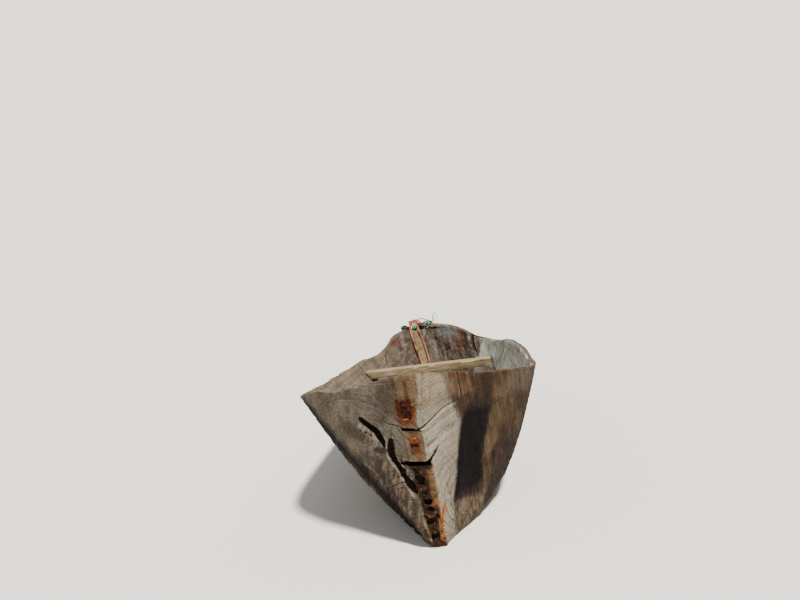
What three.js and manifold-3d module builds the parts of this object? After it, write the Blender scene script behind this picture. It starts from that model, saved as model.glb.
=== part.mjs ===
// Dugout canoe hewn from one log, resting on its flat bottom.
// Millimetres. +Y runs along the hull to the end with the painter, +X is to the right, +Z is up.
// The origin is on the ground under the middle of the hull.
import * as THREE from 'three';
import { mergeVertices } from 'three/addons/utils/BufferGeometryUtils.js';
import Module from 'manifold-3d';

const wasm = await Module();
wasm.setup();

// Hull
const LENGTH = 4000;
const HALF = LENGTH / 2;
const BOW_RISE = 15; // extra height of the stem head at the painter's end
const BOW_RISE_REACH = 540; // length over which that height fades out
const SIDE_POINTS = 10; // points from the bottom to the rim on each side
const OVERCUT = 80; // how far a cutter runs past the surface it opens

// Outer sections, from a stem head to the middle of the hull. Both ends share them.
// distance from the stem head, half breadth at the rim, height of the rim, height of the
// keel line, then half breadth of the bottom and fullness of the side, left and right
const OUTER_SECTIONS = [
  [0, 27, 592, 576, 25, 1.0, 25, 1.0],
  [63, 76, 583, 432, 26, 1.0, 27, 1.0],
  [126, 135, 572, 288, 27, 1.0, 29, 1.0],
  [189, 187, 560, 140, 27, 1.0, 31, 0.98],
  [256, 239, 545, 0, 28, 1.0, 35, 0.95],
  [360, 305, 527, 0, 50, 0.93, 70, 0.84],
  [513, 392, 509, 0, 95, 0.84, 128, 0.7],
  [720, 455, 495, 0, 122, 0.7, 157, 0.57],
  [1035, 486, 489, 0, 125, 0.65, 162, 0.52],
  [1440, 497, 486, 0, 125, 0.635, 162, 0.5],
  [2000, 500, 486, 0, 125, 0.635, 162, 0.5],
];

// Sections of the hollow, in the same way.
// distance from the stem head, half breadth at the rim, height of the floor,
// then half breadth of the floor and fullness of the side, left and right
const INNER_SECTIONS = [
  [108, 30, 480, 14, 0.9, 14, 0.9],
  [150, 95, 400, 23, 0.9, 25, 0.86],
  [200, 150, 300, 34, 0.88, 40, 0.82],
  [270, 212, 190, 48, 0.88, 58, 0.8],
  [360, 274, 110, 68, 0.87, 84, 0.76],
  [513, 360, 66, 92, 0.8, 122, 0.67],
  [720, 425, 58, 112, 0.68, 145, 0.57],
  [1035, 457, 55, 115, 0.64, 150, 0.53],
  [1440, 468, 55, 115, 0.63, 150, 0.51],
  [2000, 471, 55, 115, 0.63, 150, 0.51],
];

// How far the rim departs from an even sheer: place along the hull, left, right
const RIM_CHANGES = [
  [-2000, 0, 0],
  [-1910, -3, -3],
  [-1750, 4, -7],
  [-1680, 14, -5],
  [-1580, 28, -5],
  [-1280, 18, -14],
  [-980, 6, -24],
  [-400, -8, 6],
  [200, -19, 4],
  [600, -27, -14],
  [1000, -27, -42],
  [1440, -45, -54],
  [1560, -26, -52],
  [1670, 36, -26],
  [1760, 40, -8],
  [1840, 4, -2],
  [2000, 0, 0],
];
const LEFT = 0;
const RIGHT = 1;

const OUTER_STATIONS = [
  0, 63, 126, 189, 256, 305, 360, 435, 513, 610, 720, 870, 1035, 1230, 1440, 1720,
];
const INNER_STATIONS = [
  108, 128, 150, 175, 200, 235, 270, 315, 360, 435, 513, 610, 720, 870, 1035, 1230, 1440, 1720,
];

// Two blocks let into the near stem
const SEAT_GAP = 0.4;
const RECESS_HALF_WIDTH = 34;
const RECESS_DEPTH = 55;
const RECESS_BOTTOM = 293;
const STEM_FOOT_DISTANCE = 256;
const STEM_HEAD_HEIGHT = 576;
const BLOCK_HEIGHTS = {
  stem_block_upper: [421, 700],
  stem_block_lower: [309, 409],
};

// Spikes that hold the blocks and the rim
const SPIKE_RADIUS = 4;
const SPIKE_HEAD_RADIUS = 9;
const SPIKE_HEAD_THICKNESS = 4;
const SPIKE_LENGTH = 60;

// Splits in the left side of the near end, each a ribbon seen from ahead.
// place across, height, half width
const NEAR_SPLITS = [
  [
    [-177, 459, 1],
    [-150, 438, 7],
    [-122, 411, 9],
    [-107, 381, 8],
    [-103, 352, 2],
  ],
  [
    [-89, 385, 2],
    [-82, 340, 8],
    [-66, 299, 11],
    [-50, 254, 10],
    [-33, 210, 7],
    [-25, 187, 1],
  ],
];
const NEAR_SPLIT_DEPTH = 30;

// Pockets rotted out of the wood: one row for each, in the near stem below the blocks
// and in the left rim near the painter's end.
// place across, distance from that stem head, height, radii across, along and up
const NEAR_STEM_POCKETS = [
  [-10, 146, 240, 17, 30, 24],
  [-5, 168, 195, 12, 17, 11],
  [-2, 180, 166, 16, 27, 13],
  [3, 192, 137, 14, 24, 13],
  [1, 212, 95, 18, 20, 20],
  [2, 236, 42, 15, 16, 22],
];
const FAR_RIM_POCKETS = [
  [-291, 400, 524, 30, 62, 34],
  [-318, 470, 506, 24, 30, 20],
];

// A split along the grain through the right side near the painter's end.
// Corners are [place across, height], and it runs between two distances from the stem head.
const FAR_SPLIT = [
  [272, 600],
  [296, 600],
  [299, 440],
  [309, 330],
  [304, 330],
  [288, 440],
];
const FAR_SPLIT_REACH = [290, 680];

// Thwart
const THWART_WIDTH = 190;
const THWART_THICKNESS = 48;
const THWART_TOP = 362;
const THWART_DISTANCE = 2800; // from the near stem head to its middle
const THWART_RIGHT_END = 392;
const THWART_TILT = 0.04; // its left end lies higher, radians
const THWART_SKEW = 0.1; // its left end lies further along the hull, radians

// Painter lashing at the far stem
const ROPE_RADIUS = 6.5;
const ROPE_SIDES = 8;
const ROPE_STEPS = 44;
const ROPE_CLEARANCE = 3; // between the rope and the wood beside it
const ROPE_LIFT = 6; // between the rope and the rim under it
const ROPE_HOLE_RADIUS = 17;
const ROPE_HOLE_X = -52;
const ROPE_HOLE_HEIGHT = 195;
const ROPE_HOLE_LENGTH = 330;

// Turns of the lashing, each from the hole up the inside, over the rim and down the outside.
// Points are [place across, height], and the rope follows the wood there.
const LASHING_TURNS = [
  {
    hole: -60,
    inside: [
      [-64, 228],
      [-84, 266],
      [-105, 327],
      [-134, 463],
    ],
    rim: -151,
    outside: [
      [-138, 480],
      [-112, 380],
      [-82, 290],
      [-62, 228],
    ],
  },
  {
    hole: -44,
    inside: [
      [-44, 228],
      [-44, 266],
      [-46, 320],
      [-65, 463],
    ],
    rim: -93,
    outside: [
      [-82, 480],
      [-66, 380],
      [-50, 290],
      [-44, 228],
    ],
  },
];

// Lumps tied at the head of the far stem.
// name, look, place across, distance from the stem head, height, radii across, along and up
const LUMPS = [
  ['painter_knot', 'rope', -98, 128, 628, 62, 26, 36],
  ['painter_knot', 'rope', -137, 150, 602, 14, 17, 20],
  ['net_tie', 'netTwine', -112, 167, 595, 12, 11, 14],
  ['twine_tangle', 'darkTwine', -20, 78, 608, 42, 22, 18],
];

const material = (color, roughness, metalness = 0) =>
  new THREE.MeshStandardMaterial({ color, roughness, metalness });
const weatheredWood = material(0x7d7468, 0.9);
const blockWood = material(0x6b4a33, 0.9);
const thwartWood = material(0xa89a7c, 0.85);
const rustyIron = material(0x6a3420, 0.85, 0.3);
const looks = {
  rope: material(0xc9714f, 0.9),
  netTwine: material(0x5f8a52, 0.85),
  darkTwine: material(0x33483a, 0.9),
};

const canoe = new THREE.Group();
canoe.name = 'dugout_canoe';

// A row of a table at any distance, by a smooth curve through its rows
function sample(table, distance) {
  const last = table.length - 1;
  let i = 0;
  while (i < last - 1 && distance > table[i + 1][0]) i += 1;
  const span = table[i + 1][0] - table[i][0];
  const t = Math.min(Math.max((distance - table[i][0]) / span, 0), 1);
  const slope = (row, column) => {
    if (row === last) return 0;
    const low = table[Math.max(row - 1, 0)];
    const high = table[row + 1];
    const before = (table[row][column] - low[column]) / (table[row][0] - low[0] || 1);
    const after = (high[column] - table[row][column]) / (high[0] - table[row][0]);
    if (row === 0) return after;
    return before * after > 0 ? (2 * before * after) / (before + after) : 0;
  };
  return table[0].map((unused, column) => {
    const a = table[i][column];
    const b = table[i + 1][column];
    const m0 = slope(i, column) * span;
    const m1 = slope(i + 1, column) * span;
    return (
      a * (1 + 2 * t) * (1 - t) ** 2 +
      m0 * t * (1 - t) ** 2 +
      b * t * t * (3 - 2 * t) -
      m1 * t * t * (1 - t)
    );
  });
}

const bowRise = (y) => BOW_RISE * Math.max(0, 1 - (HALF - y) / BOW_RISE_REACH);

const rimHeight = (y, side) =>
  sample(OUTER_SECTIONS, HALF - Math.abs(y))[2] + bowRise(y) + sample(RIM_CHANGES, y)[1 + side];

// One side of a section: half breadth and height of its foot and of its rim, and its fullness
function outerSide(y, side) {
  const row = sample(OUTER_SECTIONS, HALF - Math.abs(y));
  return [row[4 + 2 * side], row[3], row[1], rimHeight(y, side), row[5 + 2 * side]];
}

function innerSide(y, side, shrink = 0) {
  const row = sample(INNER_SECTIONS, HALF - Math.abs(y));
  return [
    row[3 + 2 * side] - shrink,
    row[2] + shrink,
    row[1] - shrink,
    rimHeight(y, side),
    row[4 + 2 * side],
  ];
}

// Points of one side from the bottom to the rim, as [half breadth, height]
function sidePoints([footHalf, footZ, rimHalf, rimZ, fullness]) {
  return Array.from({ length: SIDE_POINTS }, (unused, k) => {
    const t = k / (SIDE_POINTS - 1);
    return [footHalf + (rimHalf - footHalf) * t, footZ + (rimZ - footZ) * t ** (1 / fullness)];
  });
}

// A ring runs down the left side and up the right one
const ringFromSides = (y, left, right) => [
  ...left.toReversed().map(([x, z]) => [-x, y, z]),
  ...right.map(([x, z]) => [x, y, z]),
];

function outerRing(y) {
  const [left, right] = [LEFT, RIGHT].map((side) => sidePoints(outerSide(y, side)));
  return ringFromSides(y, left, right);
}

function innerRing(y, shrink = 0) {
  const [left, right] = [LEFT, RIGHT].map((side) => {
    const section = innerSide(y, side, shrink);
    return [...sidePoints(section), [section[2], section[3] + OVERCUT]];
  });
  return ringFromSides(y, left, right);
}

// Stations of both ends in one list along the hull
const alongHull = (stations) => [
  ...stations.map((d) => d - HALF),
  0,
  ...stations.toReversed().map((d) => HALF - d),
];

function loft(rings) {
  const count = rings[0].length;
  const index = [];
  const at = (i, j) => i * count + j;
  for (let i = 0; i + 1 < rings.length; i += 1) {
    for (let j = 0; j < count; j += 1) {
      const k = (j + 1) % count;
      index.push(at(i, j), at(i + 1, j), at(i + 1, k));
      index.push(at(i, j), at(i + 1, k), at(i, k));
    }
  }
  const end = rings.length - 1;
  for (let j = 0; j + 1 < count / 2; j += 1) {
    const opposite = count - 1 - j;
    index.push(at(0, j), at(0, j + 1), at(0, opposite - 1));
    index.push(at(0, j), at(0, opposite - 1), at(0, opposite));
    index.push(at(end, j), at(end, opposite - 1), at(end, j + 1));
    index.push(at(end, j), at(end, opposite), at(end, opposite - 1));
  }
  const geometry = new THREE.BufferGeometry();
  geometry.setAttribute('position', new THREE.Float32BufferAttribute(rings.flat(2), 3));
  geometry.setIndex(index);
  return geometry;
}

// A closed geometry as a solid that can be joined and cut
function toSolid(geometry) {
  const bare = geometry.clone();
  bare.deleteAttribute('normal');
  bare.deleteAttribute('uv');
  const merged = mergeVertices(bare, 1e-3);
  return new wasm.Manifold(
    new wasm.Mesh({
      numProp: 3,
      vertProperties: new Float32Array(merged.attributes.position.array),
      triVerts: new Uint32Array(merged.index.array),
    }),
  );
}

function toGeometry(solid) {
  const { numProp, vertProperties, triVerts } = solid.getMesh();
  const position = new Float32Array((vertProperties.length / numProp) * 3);
  for (let i = 0; i * numProp < vertProperties.length; i += 1) {
    position.set(vertProperties.subarray(i * numProp, i * numProp + 3), i * 3);
  }
  const geometry = new THREE.BufferGeometry();
  geometry.setAttribute('position', new THREE.BufferAttribute(position, 3));
  geometry.setIndex(new THREE.BufferAttribute(triVerts, 1));
  geometry.computeVertexNormals();
  return geometry;
}

function addPiece(name, shape, look) {
  const geometry = shape instanceof THREE.BufferGeometry ? shape : toGeometry(shape);
  const mesh = new THREE.Mesh(geometry, look);
  mesh.name = name;
  canoe.add(mesh);
}

// A prism across the hull from an outline of [y, z] points
function prismAcross(outline, halfWidth) {
  const shape = new THREE.Shape(outline.map(([y, z]) => new THREE.Vector2(y, z)));
  const prism = new THREE.ExtrudeGeometry(shape, { depth: 2 * halfWidth, bevelEnabled: false });
  prism.translate(0, 0, -halfWidth);
  // the outline's plane becomes YZ, and the extrusion runs along X
  prism.applyMatrix4(new THREE.Matrix4().set(0, 0, 1, 0, 1, 0, 0, 0, 0, 1, 0, 0, 0, 0, 0, 1));
  return prism;
}

function rodAlongY(radius, y0, y1, x, z, sides = 12) {
  const rod = new THREE.CylinderGeometry(radius, radius, y1 - y0, sides);
  rod.translate(0, (y0 + y1) / 2, 0);
  rod.translate(x, 0, z);
  return rod;
}

const outerSolid = toSolid(loft(alongHull(OUTER_STATIONS).map(outerRing)));
const hollowSolid = toSolid(loft(alongHull(INNER_STATIONS).map((y) => innerRing(y))));

// Where the raked face of the near stem lies at a height
const stemFaceY = (z) => -HALF + STEM_FOOT_DISTANCE * (1 - z / STEM_HEAD_HEIGHT);

// A slab of the near stem between two heights, from before its face to a depth behind it
function stemSlab(bottom, top, depth, halfWidth) {
  return toSolid(
    prismAcross(
      [
        [stemFaceY(bottom) - OVERCUT, bottom],
        [stemFaceY(bottom) + depth, bottom],
        [stemFaceY(top) + depth, top],
        [stemFaceY(top) - OVERCUT, top],
      ],
      halfWidth,
    ),
  );
}

// Spikes into the near stem: name, place across, height
const STEM_SPIKES = [
  ['stem_spike_upper_left', -14, 503],
  ['stem_spike_upper_right', 13, 496],
  ['stem_spike_lower', 4, 357],
];

function spikeSolid(x, z, gap = 0) {
  const face = stemFaceY(z);
  const shank = rodAlongY(SPIKE_RADIUS + gap, face - 1, face + SPIKE_LENGTH + gap, x, z);
  const head = rodAlongY(
    SPIKE_HEAD_RADIUS + gap,
    face - SPIKE_HEAD_THICKNESS - gap,
    face + gap,
    x,
    z,
  );
  return toSolid(shank).add(toSolid(head));
}

// Where the left side of the near end lies, as the distance from the stem head
const nearLeftSide = (x, z) => 95 - 1.08 * x - 0.4 * (z - 288);

// A split seen from ahead as a ribbon, as deep all along as the hull's slanted side
function splitSolid(ribbon) {
  const edge = (side) =>
    ribbon.map(([x, z, halfWidth], k) => {
      const [x0, z0] = ribbon[Math.max(k - 1, 0)];
      const [x1, z1] = ribbon[Math.min(k + 1, ribbon.length - 1)];
      const length = Math.hypot(x1 - x0, z1 - z0);
      const offset = (side * halfWidth) / length;
      return new THREE.Vector2(x - (z1 - z0) * offset, z + (x1 - x0) * offset);
    });
  const outline = new THREE.Shape([...edge(1), ...edge(-1).toReversed()]);
  const slab = new THREE.ExtrudeGeometry(outline, { depth: 1, bevelEnabled: false });
  const place = slab.attributes.position;
  for (let i = 0; i < place.count; i += 1) {
    const [x, z, back] = [place.getX(i), place.getY(i), place.getZ(i)];
    const depth = back > 0.5 ? -OVERCUT : NEAR_SPLIT_DEPTH;
    place.setXYZ(i, x, nearLeftSide(x, z) + depth - HALF, z);
  }
  return toSolid(slab);
}

// A rounded lump. Its end of the hull is -1 for the near one and 1 for the painter's.
function lumpSolid(end, [x, distance, z, across, along, up], around = 14, rings = 8) {
  const ball = new THREE.SphereGeometry(1, around, rings);
  ball.rotateX(Math.PI / 2);
  ball.scale(across, along, up);
  ball.translate(x, end * (HALF - distance), z);
  return toSolid(ball);
}

// The split through the right side near the painter's end
function farSplitSolid() {
  const outline = new THREE.Shape(FAR_SPLIT.map(([x, z]) => new THREE.Vector2(x, z)));
  const [near, far] = FAR_SPLIT_REACH;
  const wedge = new THREE.ExtrudeGeometry(outline, { depth: far - near, bevelEnabled: false });
  wedge.rotateX(Math.PI / 2);
  wedge.translate(0, HALF - near, 0);
  return toSolid(wedge);
}

// Hull
const ropeHole = toSolid(
  rodAlongY(
    ROPE_HOLE_RADIUS,
    HALF - ROPE_HOLE_LENGTH,
    HALF,
    ROPE_HOLE_X,
    ROPE_HOLE_HEIGHT,
    16,
  ),
);
let hull = outerSolid
  .subtract(hollowSolid)
  .subtract(stemSlab(RECESS_BOTTOM, 700, RECESS_DEPTH, RECESS_HALF_WIDTH))
  .subtract(ropeHole)
  .subtract(farSplitSolid());
for (const ribbon of NEAR_SPLITS) hull = hull.subtract(splitSolid(ribbon));
for (const pocket of NEAR_STEM_POCKETS) hull = hull.subtract(lumpSolid(-1, pocket, 10, 6));
for (const pocket of FAR_RIM_POCKETS) hull = hull.subtract(lumpSolid(1, pocket, 12, 8));
for (const [, x, z] of STEM_SPIKES) hull = hull.subtract(spikeSolid(x, z, SEAT_GAP));
addPiece('hull', hull, weatheredWood);

// Blocks in the near stem, cut to the hull's own outside
for (const [name, [bottom, top]] of Object.entries(BLOCK_HEIGHTS)) {
  let block = outerSolid.intersect(
    stemSlab(bottom, top, RECESS_DEPTH - SEAT_GAP, RECESS_HALF_WIDTH - SEAT_GAP),
  );
  for (const [, x, z] of STEM_SPIKES) block = block.subtract(spikeSolid(x, z, SEAT_GAP));
  addPiece(name, block, blockWood);
}

// Spikes
for (const [name, x, z] of STEM_SPIKES) addPiece(name, spikeSolid(x, z), rustyIron);

// Thwart, wedged between the sides
const thwartBoard = new THREE.BoxGeometry(HALF, THWART_WIDTH, THWART_THICKNESS);
thwartBoard.translate(THWART_RIGHT_END - HALF / 2, 0, -THWART_THICKNESS / 2);
thwartBoard.rotateY(THWART_TILT);
thwartBoard.rotateZ(-THWART_SKEW);
thwartBoard.translate(0, THWART_DISTANCE - HALF, THWART_TOP + THWART_RIGHT_END * THWART_TILT);
const hollowWithGap = toSolid(
  loft(alongHull(INNER_STATIONS).map((y) => innerRing(y, SEAT_GAP))),
);
addPiece('thwart', toSolid(thwartBoard).intersect(hollowWithGap), thwartWood);

// Where the outside or the hollow of the far end's left side passes [x, z]
function leftSurfaceY(section, x, z) {
  let [near, far] = [HALF - 600, HALF];
  for (let k = 0; k < 40; k += 1) {
    const y = (near + far) / 2;
    const [footHalf, footZ, rimHalf, rimZ, fullness] = section(y, LEFT);
    const share = Math.min(Math.max((z - footZ) / (rimZ - footZ), 0), 1);
    const half = z < footZ ? 0 : footHalf + (rimHalf - footHalf) * share ** fullness;
    if (half > -x) near = y;
    else far = y;
  }
  return near;
}

// The rope's middle where it lies on that surface, outside for 1 and inside for -1
function besideWood(section, out, [x, z]) {
  const y = leftSurfaceY(section, x, z);
  const acrossSlope = (leftSurfaceY(section, x + 1, z) - leftSurfaceY(section, x - 1, z)) / 2;
  const upSlope = (leftSurfaceY(section, x, z + 1) - leftSurfaceY(section, x, z - 1)) / 2;
  const away = (ROPE_RADIUS + ROPE_CLEARANCE) * Math.hypot(1, acrossSlope, upSlope);
  return new THREE.Vector3(x, y + out * away, z);
}

// Over the rim at a place across, from the hollow to the outside
function overRim(x) {
  const nominal = rimHeight(HALF - 150, LEFT);
  const inner = leftSurfaceY(innerSide, x, nominal);
  const outer = leftSurfaceY(outerSide, x, nominal);
  const above = [-2, (outer - inner) / 2, outer - inner + 8].map((along) => {
    const y = inner + along;
    return new THREE.Vector3(x, y, rimHeight(y, LEFT) + ROPE_RADIUS + ROPE_LIFT);
  });
  return [
    besideWood(innerSide, -1, [x, rimHeight(inner, LEFT) - 12]),
    ...above,
    besideWood(outerSide, 1, [x, rimHeight(outer, LEFT) - 6]),
  ];
}

// Painter lashing, one rope in two turns with its knot on the rim
function ropeTurn({ hole, inside, rim, outside }) {
  const start = besideWood(innerSide, -1, [hole, ROPE_HOLE_HEIGHT]);
  const end = besideWood(outerSide, 1, [hole, ROPE_HOLE_HEIGHT]);
  const middle = start.clone().lerp(end, 0.5);
  const route = new THREE.CatmullRomCurve3(
    [
      middle,
      start,
      ...inside.map((place) => besideWood(innerSide, -1, place)),
      ...overRim(rim),
      ...outside.map((place) => besideWood(outerSide, 1, place)),
      end,
      middle.clone().add(new THREE.Vector3(0, 1, 0)),
    ],
    false,
    'centripetal',
  );
  const section = new THREE.Shape();
  for (let k = 0; k < ROPE_SIDES; k += 1) {
    const angle = (2 * Math.PI * k) / ROPE_SIDES;
    const corner = [ROPE_RADIUS * Math.cos(angle), ROPE_RADIUS * Math.sin(angle)];
    if (k === 0) section.moveTo(...corner);
    else section.lineTo(...corner);
  }
  return toSolid(
    new THREE.ExtrudeGeometry(section, { steps: ROPE_STEPS, extrudePath: route }),
  );
}

const rimTrim = outerSolid.add(
  toSolid(loft(alongHull(OUTER_STATIONS).map(outerRing)).translate(0, 0, SEAT_GAP)),
);
let lashing = LASHING_TURNS.map(ropeTurn).reduce((a, b) => a.add(b));
for (const [name, look, ...place] of LUMPS) {
  const lump = lumpSolid(1, place).subtract(rimTrim);
  if (name === 'painter_knot') lashing = lashing.add(lump);
  else addPiece(name, lump, looks[look]);
}
addPiece('painter_lashing', lashing, looks.rope);

export default canoe;
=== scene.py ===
# Looks of a weathered dugout canoe: hull, stem blocks and spikes, loose board, rope and twine.
# Metres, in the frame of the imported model: +Y runs to the bow, where the rope is, and +Z is up.
import math

import bpy
import numpy as np
from mathutils import Matrix, Vector


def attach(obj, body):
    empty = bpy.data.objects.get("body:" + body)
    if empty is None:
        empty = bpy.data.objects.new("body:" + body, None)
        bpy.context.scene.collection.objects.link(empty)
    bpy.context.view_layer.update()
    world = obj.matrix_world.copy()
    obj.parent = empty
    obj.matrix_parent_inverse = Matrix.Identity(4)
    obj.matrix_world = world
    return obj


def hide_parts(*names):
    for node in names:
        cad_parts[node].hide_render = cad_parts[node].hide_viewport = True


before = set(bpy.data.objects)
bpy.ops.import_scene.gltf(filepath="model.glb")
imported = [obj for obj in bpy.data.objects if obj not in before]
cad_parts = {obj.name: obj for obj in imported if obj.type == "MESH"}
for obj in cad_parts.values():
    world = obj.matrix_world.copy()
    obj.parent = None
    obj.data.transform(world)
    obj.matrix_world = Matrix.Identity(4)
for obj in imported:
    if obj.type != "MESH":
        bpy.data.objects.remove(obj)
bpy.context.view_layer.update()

# Hull sizes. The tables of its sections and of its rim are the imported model's own, but for
# the rim's row at 1.84, where the left side is 11 mm higher here.
HALF = 2.0
BOW_RISE = 0.015
BOW_RISE_REACH = 0.54
# distance from the stem head, half breadth at the rim, rim height, keel height,
# then half breadth of the bottom and fullness of the side, left and right
OUTER = [
    [0, 0.027, 0.592, 0.576, 0.025, 1.0, 0.025, 1.0],
    [0.063, 0.076, 0.583, 0.432, 0.026, 1.0, 0.027, 1.0],
    [0.126, 0.135, 0.572, 0.288, 0.027, 1.0, 0.029, 1.0],
    [0.189, 0.187, 0.560, 0.140, 0.027, 1.0, 0.031, 0.98],
    [0.256, 0.239, 0.545, 0, 0.028, 1.0, 0.035, 0.95],
    [0.360, 0.305, 0.527, 0, 0.050, 0.93, 0.070, 0.84],
    [0.513, 0.392, 0.509, 0, 0.095, 0.84, 0.128, 0.7],
    [0.720, 0.455, 0.495, 0, 0.122, 0.7, 0.157, 0.57],
    [1.035, 0.486, 0.489, 0, 0.125, 0.65, 0.162, 0.52],
    [1.440, 0.497, 0.486, 0, 0.125, 0.635, 0.162, 0.5],
    [2.000, 0.500, 0.486, 0, 0.125, 0.635, 0.162, 0.5],
]
# distance from the stem head, half breadth at the rim, floor height,
# then half breadth of the floor and fullness of the side, left and right
INNER = [
    [0.108, 0.030, 0.480, 0.014, 0.9, 0.014, 0.9],
    [0.150, 0.095, 0.400, 0.023, 0.9, 0.025, 0.86],
    [0.200, 0.150, 0.300, 0.034, 0.88, 0.040, 0.82],
    [0.270, 0.212, 0.190, 0.048, 0.88, 0.058, 0.8],
    [0.360, 0.274, 0.110, 0.068, 0.87, 0.084, 0.76],
    [0.513, 0.360, 0.066, 0.092, 0.8, 0.122, 0.67],
    [0.720, 0.425, 0.058, 0.112, 0.68, 0.145, 0.57],
    [1.035, 0.457, 0.055, 0.115, 0.64, 0.150, 0.53],
    [1.440, 0.468, 0.055, 0.115, 0.63, 0.150, 0.51],
    [2.000, 0.471, 0.055, 0.115, 0.63, 0.150, 0.51],
]
# place along the hull, then how far the left and the right rim depart from an even sheer
RIM_CHANGE = [
    [-2.0, 0, 0],
    [-1.91, -0.003, -0.003],
    [-1.75, 0.004, -0.007],
    [-1.68, 0.014, -0.005],
    [-1.58, 0.028, -0.005],
    [-1.28, 0.018, -0.014],
    [-0.98, 0.006, -0.024],
    [-0.4, -0.008, 0.006],
    [0.2, -0.019, 0.004],
    [0.6, -0.027, -0.014],
    [1.0, -0.027, -0.042],
    [1.44, -0.045, -0.054],
    [1.56, -0.026, -0.052],
    [1.67, 0.036, -0.026],
    [1.76, 0.04, -0.008],
    [1.84, 0.015, -0.002],
    [2.0, 0, 0],
]
HOLLOW_START = 0.108
# foot and head of the raked stems, and the recess for the two blocks in the near one
STEM_FOOT = 0.256
STEM_HEAD_HEIGHT = 0.576
RECESS_HALF = 0.034
RECESS_DEPTH = 0.055
RECESS_BOTTOM = 0.292
RECESS_LEAN = 0.12
# how far the recess's cutter stands out in front, and a height above all of the stem
RECESS_FRONT = 0.08
STEM_TOP = 0.7

# Splits in the near end as seen from ahead, each along points of x, z and half width
GOUGE = [
    [-0.176, 0.457, 0.003],
    [-0.167, 0.448, 0.0085],
    [-0.154, 0.435, 0.0105],
    [-0.14, 0.423, 0.01],
    [-0.126, 0.41, 0.011],
    [-0.116, 0.395, 0.0115],
    [-0.11, 0.379, 0.01],
    [-0.107, 0.366, 0.008],
    [-0.106, 0.352, 0.001],
]
LONG_SPLIT = [
    [-0.078, 0.389, 0.0025],
    [-0.0785, 0.382, 0.0078],
    [-0.0805, 0.372, 0.0098],
    [-0.084, 0.36, 0.0115],
    [-0.087, 0.344, 0.0125],
    [-0.087, 0.327, 0.0115],
    [-0.082, 0.312, 0.0105],
    [-0.073, 0.298, 0.0105],
    [-0.063, 0.279, 0.0105],
    [-0.056, 0.26, 0.012],
    [-0.049, 0.243, 0.013],
    [-0.036, 0.214, 0.0105],
    [-0.025, 0.186, 0.0015],
]
RIGHT_CRACK = [
    [0.014, 0.411, 0.0036],
    [0.03, 0.416, 0.0024],
    [0.046, 0.424, 0.002],
    [0.07, 0.439, 0.0015],
    [0.098, 0.456, 0.0013],
    [0.138, 0.466, 0.0009],
    [0.187, 0.474, 0.0005],
]
LEFT_CRACK = [
    [-0.032, 0.424, 0.0022],
    [-0.047, 0.431, 0.0016],
    [-0.06, 0.435, 0.0014],
    [-0.073, 0.436, 0.0013],
    [-0.083, 0.441, 0.0011],
    [-0.088, 0.456, 0.0005],
]
SLOT_END = [
    [-0.026, 0.303, 0.0085],
    [-0.046, 0.304, 0.0075],
    [-0.062, 0.306, 0.005],
]
RISING_CRACK = [
    [0.024, 0.296, 0.0085],
    [0.037, 0.309, 0.0048],
    [0.05, 0.322, 0.0032],
    [0.066, 0.345, 0.001],
]
# with the depth of each and how ragged it is
NEAR_SPLITS = [
    (GOUGE, 0.034, 0.35),
    (LONG_SPLIT, 0.036, 0.25),
    (RIGHT_CRACK, 0.02, 0.2),
    (LEFT_CRACK, 0.012, 0.2),
    (SLOT_END, 0.03, 0.3),
    (RISING_CRACK, 0.028, 0.2),
]

# Pockets rotted out of the near stem, and of the left rim and the right side near the bow:
# place across, distance from that stem head, height, radii across, along and up
NEAR_POCKETS = [
    [-0.010, 0.146, 0.240, 0.017, 0.030, 0.024],
    [-0.005, 0.168, 0.195, 0.012, 0.017, 0.011],
    [-0.002, 0.180, 0.166, 0.016, 0.027, 0.013],
    [0.003, 0.192, 0.137, 0.014, 0.024, 0.013],
    [0.001, 0.212, 0.095, 0.018, 0.020, 0.020],
    [0.002, 0.236, 0.042, 0.015, 0.016, 0.022],
    [-0.162, 0.229, 0.405, 0.006, 0.012, 0.0035],
    [-0.182, 0.254, 0.408, 0.004, 0.010, 0.0026],
    [-0.144, 0.213, 0.396, 0.005, 0.012, 0.0040],
]
BOW_POCKETS = [
    [-0.276, 0.400, 0.530, 0.014, 0.030, 0.024],
    [-0.300, 0.445, 0.500, 0.012, 0.026, 0.018],
    [0.384, 1.210, 0.374, 0.040, 0.020, 0.011],
]

# Splits in the inner face of the bow, in the same way
BOW_SPLIT = [
    [0.299, 0.545, 0.01],
    [0.299, 0.52, 0.014],
    [0.3, 0.474, 0.014],
    [0.3, 0.425, 0.012],
    [0.306, 0.374, 0.007],
    [0.312, 0.325, 0.002],
]
BOW_CRACK = [
    [-0.348, 0.47, 0.001],
    [-0.344, 0.44, 0.003],
    [-0.34, 0.405, 0.003],
    [-0.33, 0.356, 0.001],
]
# with the depth of each and how ragged it is
BOW_SPLITS = [
    (BOW_SPLIT, 0.017, 0.3),
    (BOW_CRACK, 0.012, 0.3),
]

# Stem blocks: their clearance, their heights and how far their edges lean
BLOCK_GAP = 0.0004
BLOCK_HEIGHTS = [[0.421, STEM_TOP], [0.309, 0.410]]
BLOCK_LEAN = 0.19
# places across between which the upper block's foot comes down to the lower block
BLOCK_CLOSING = (0.012, 0.022)

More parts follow.
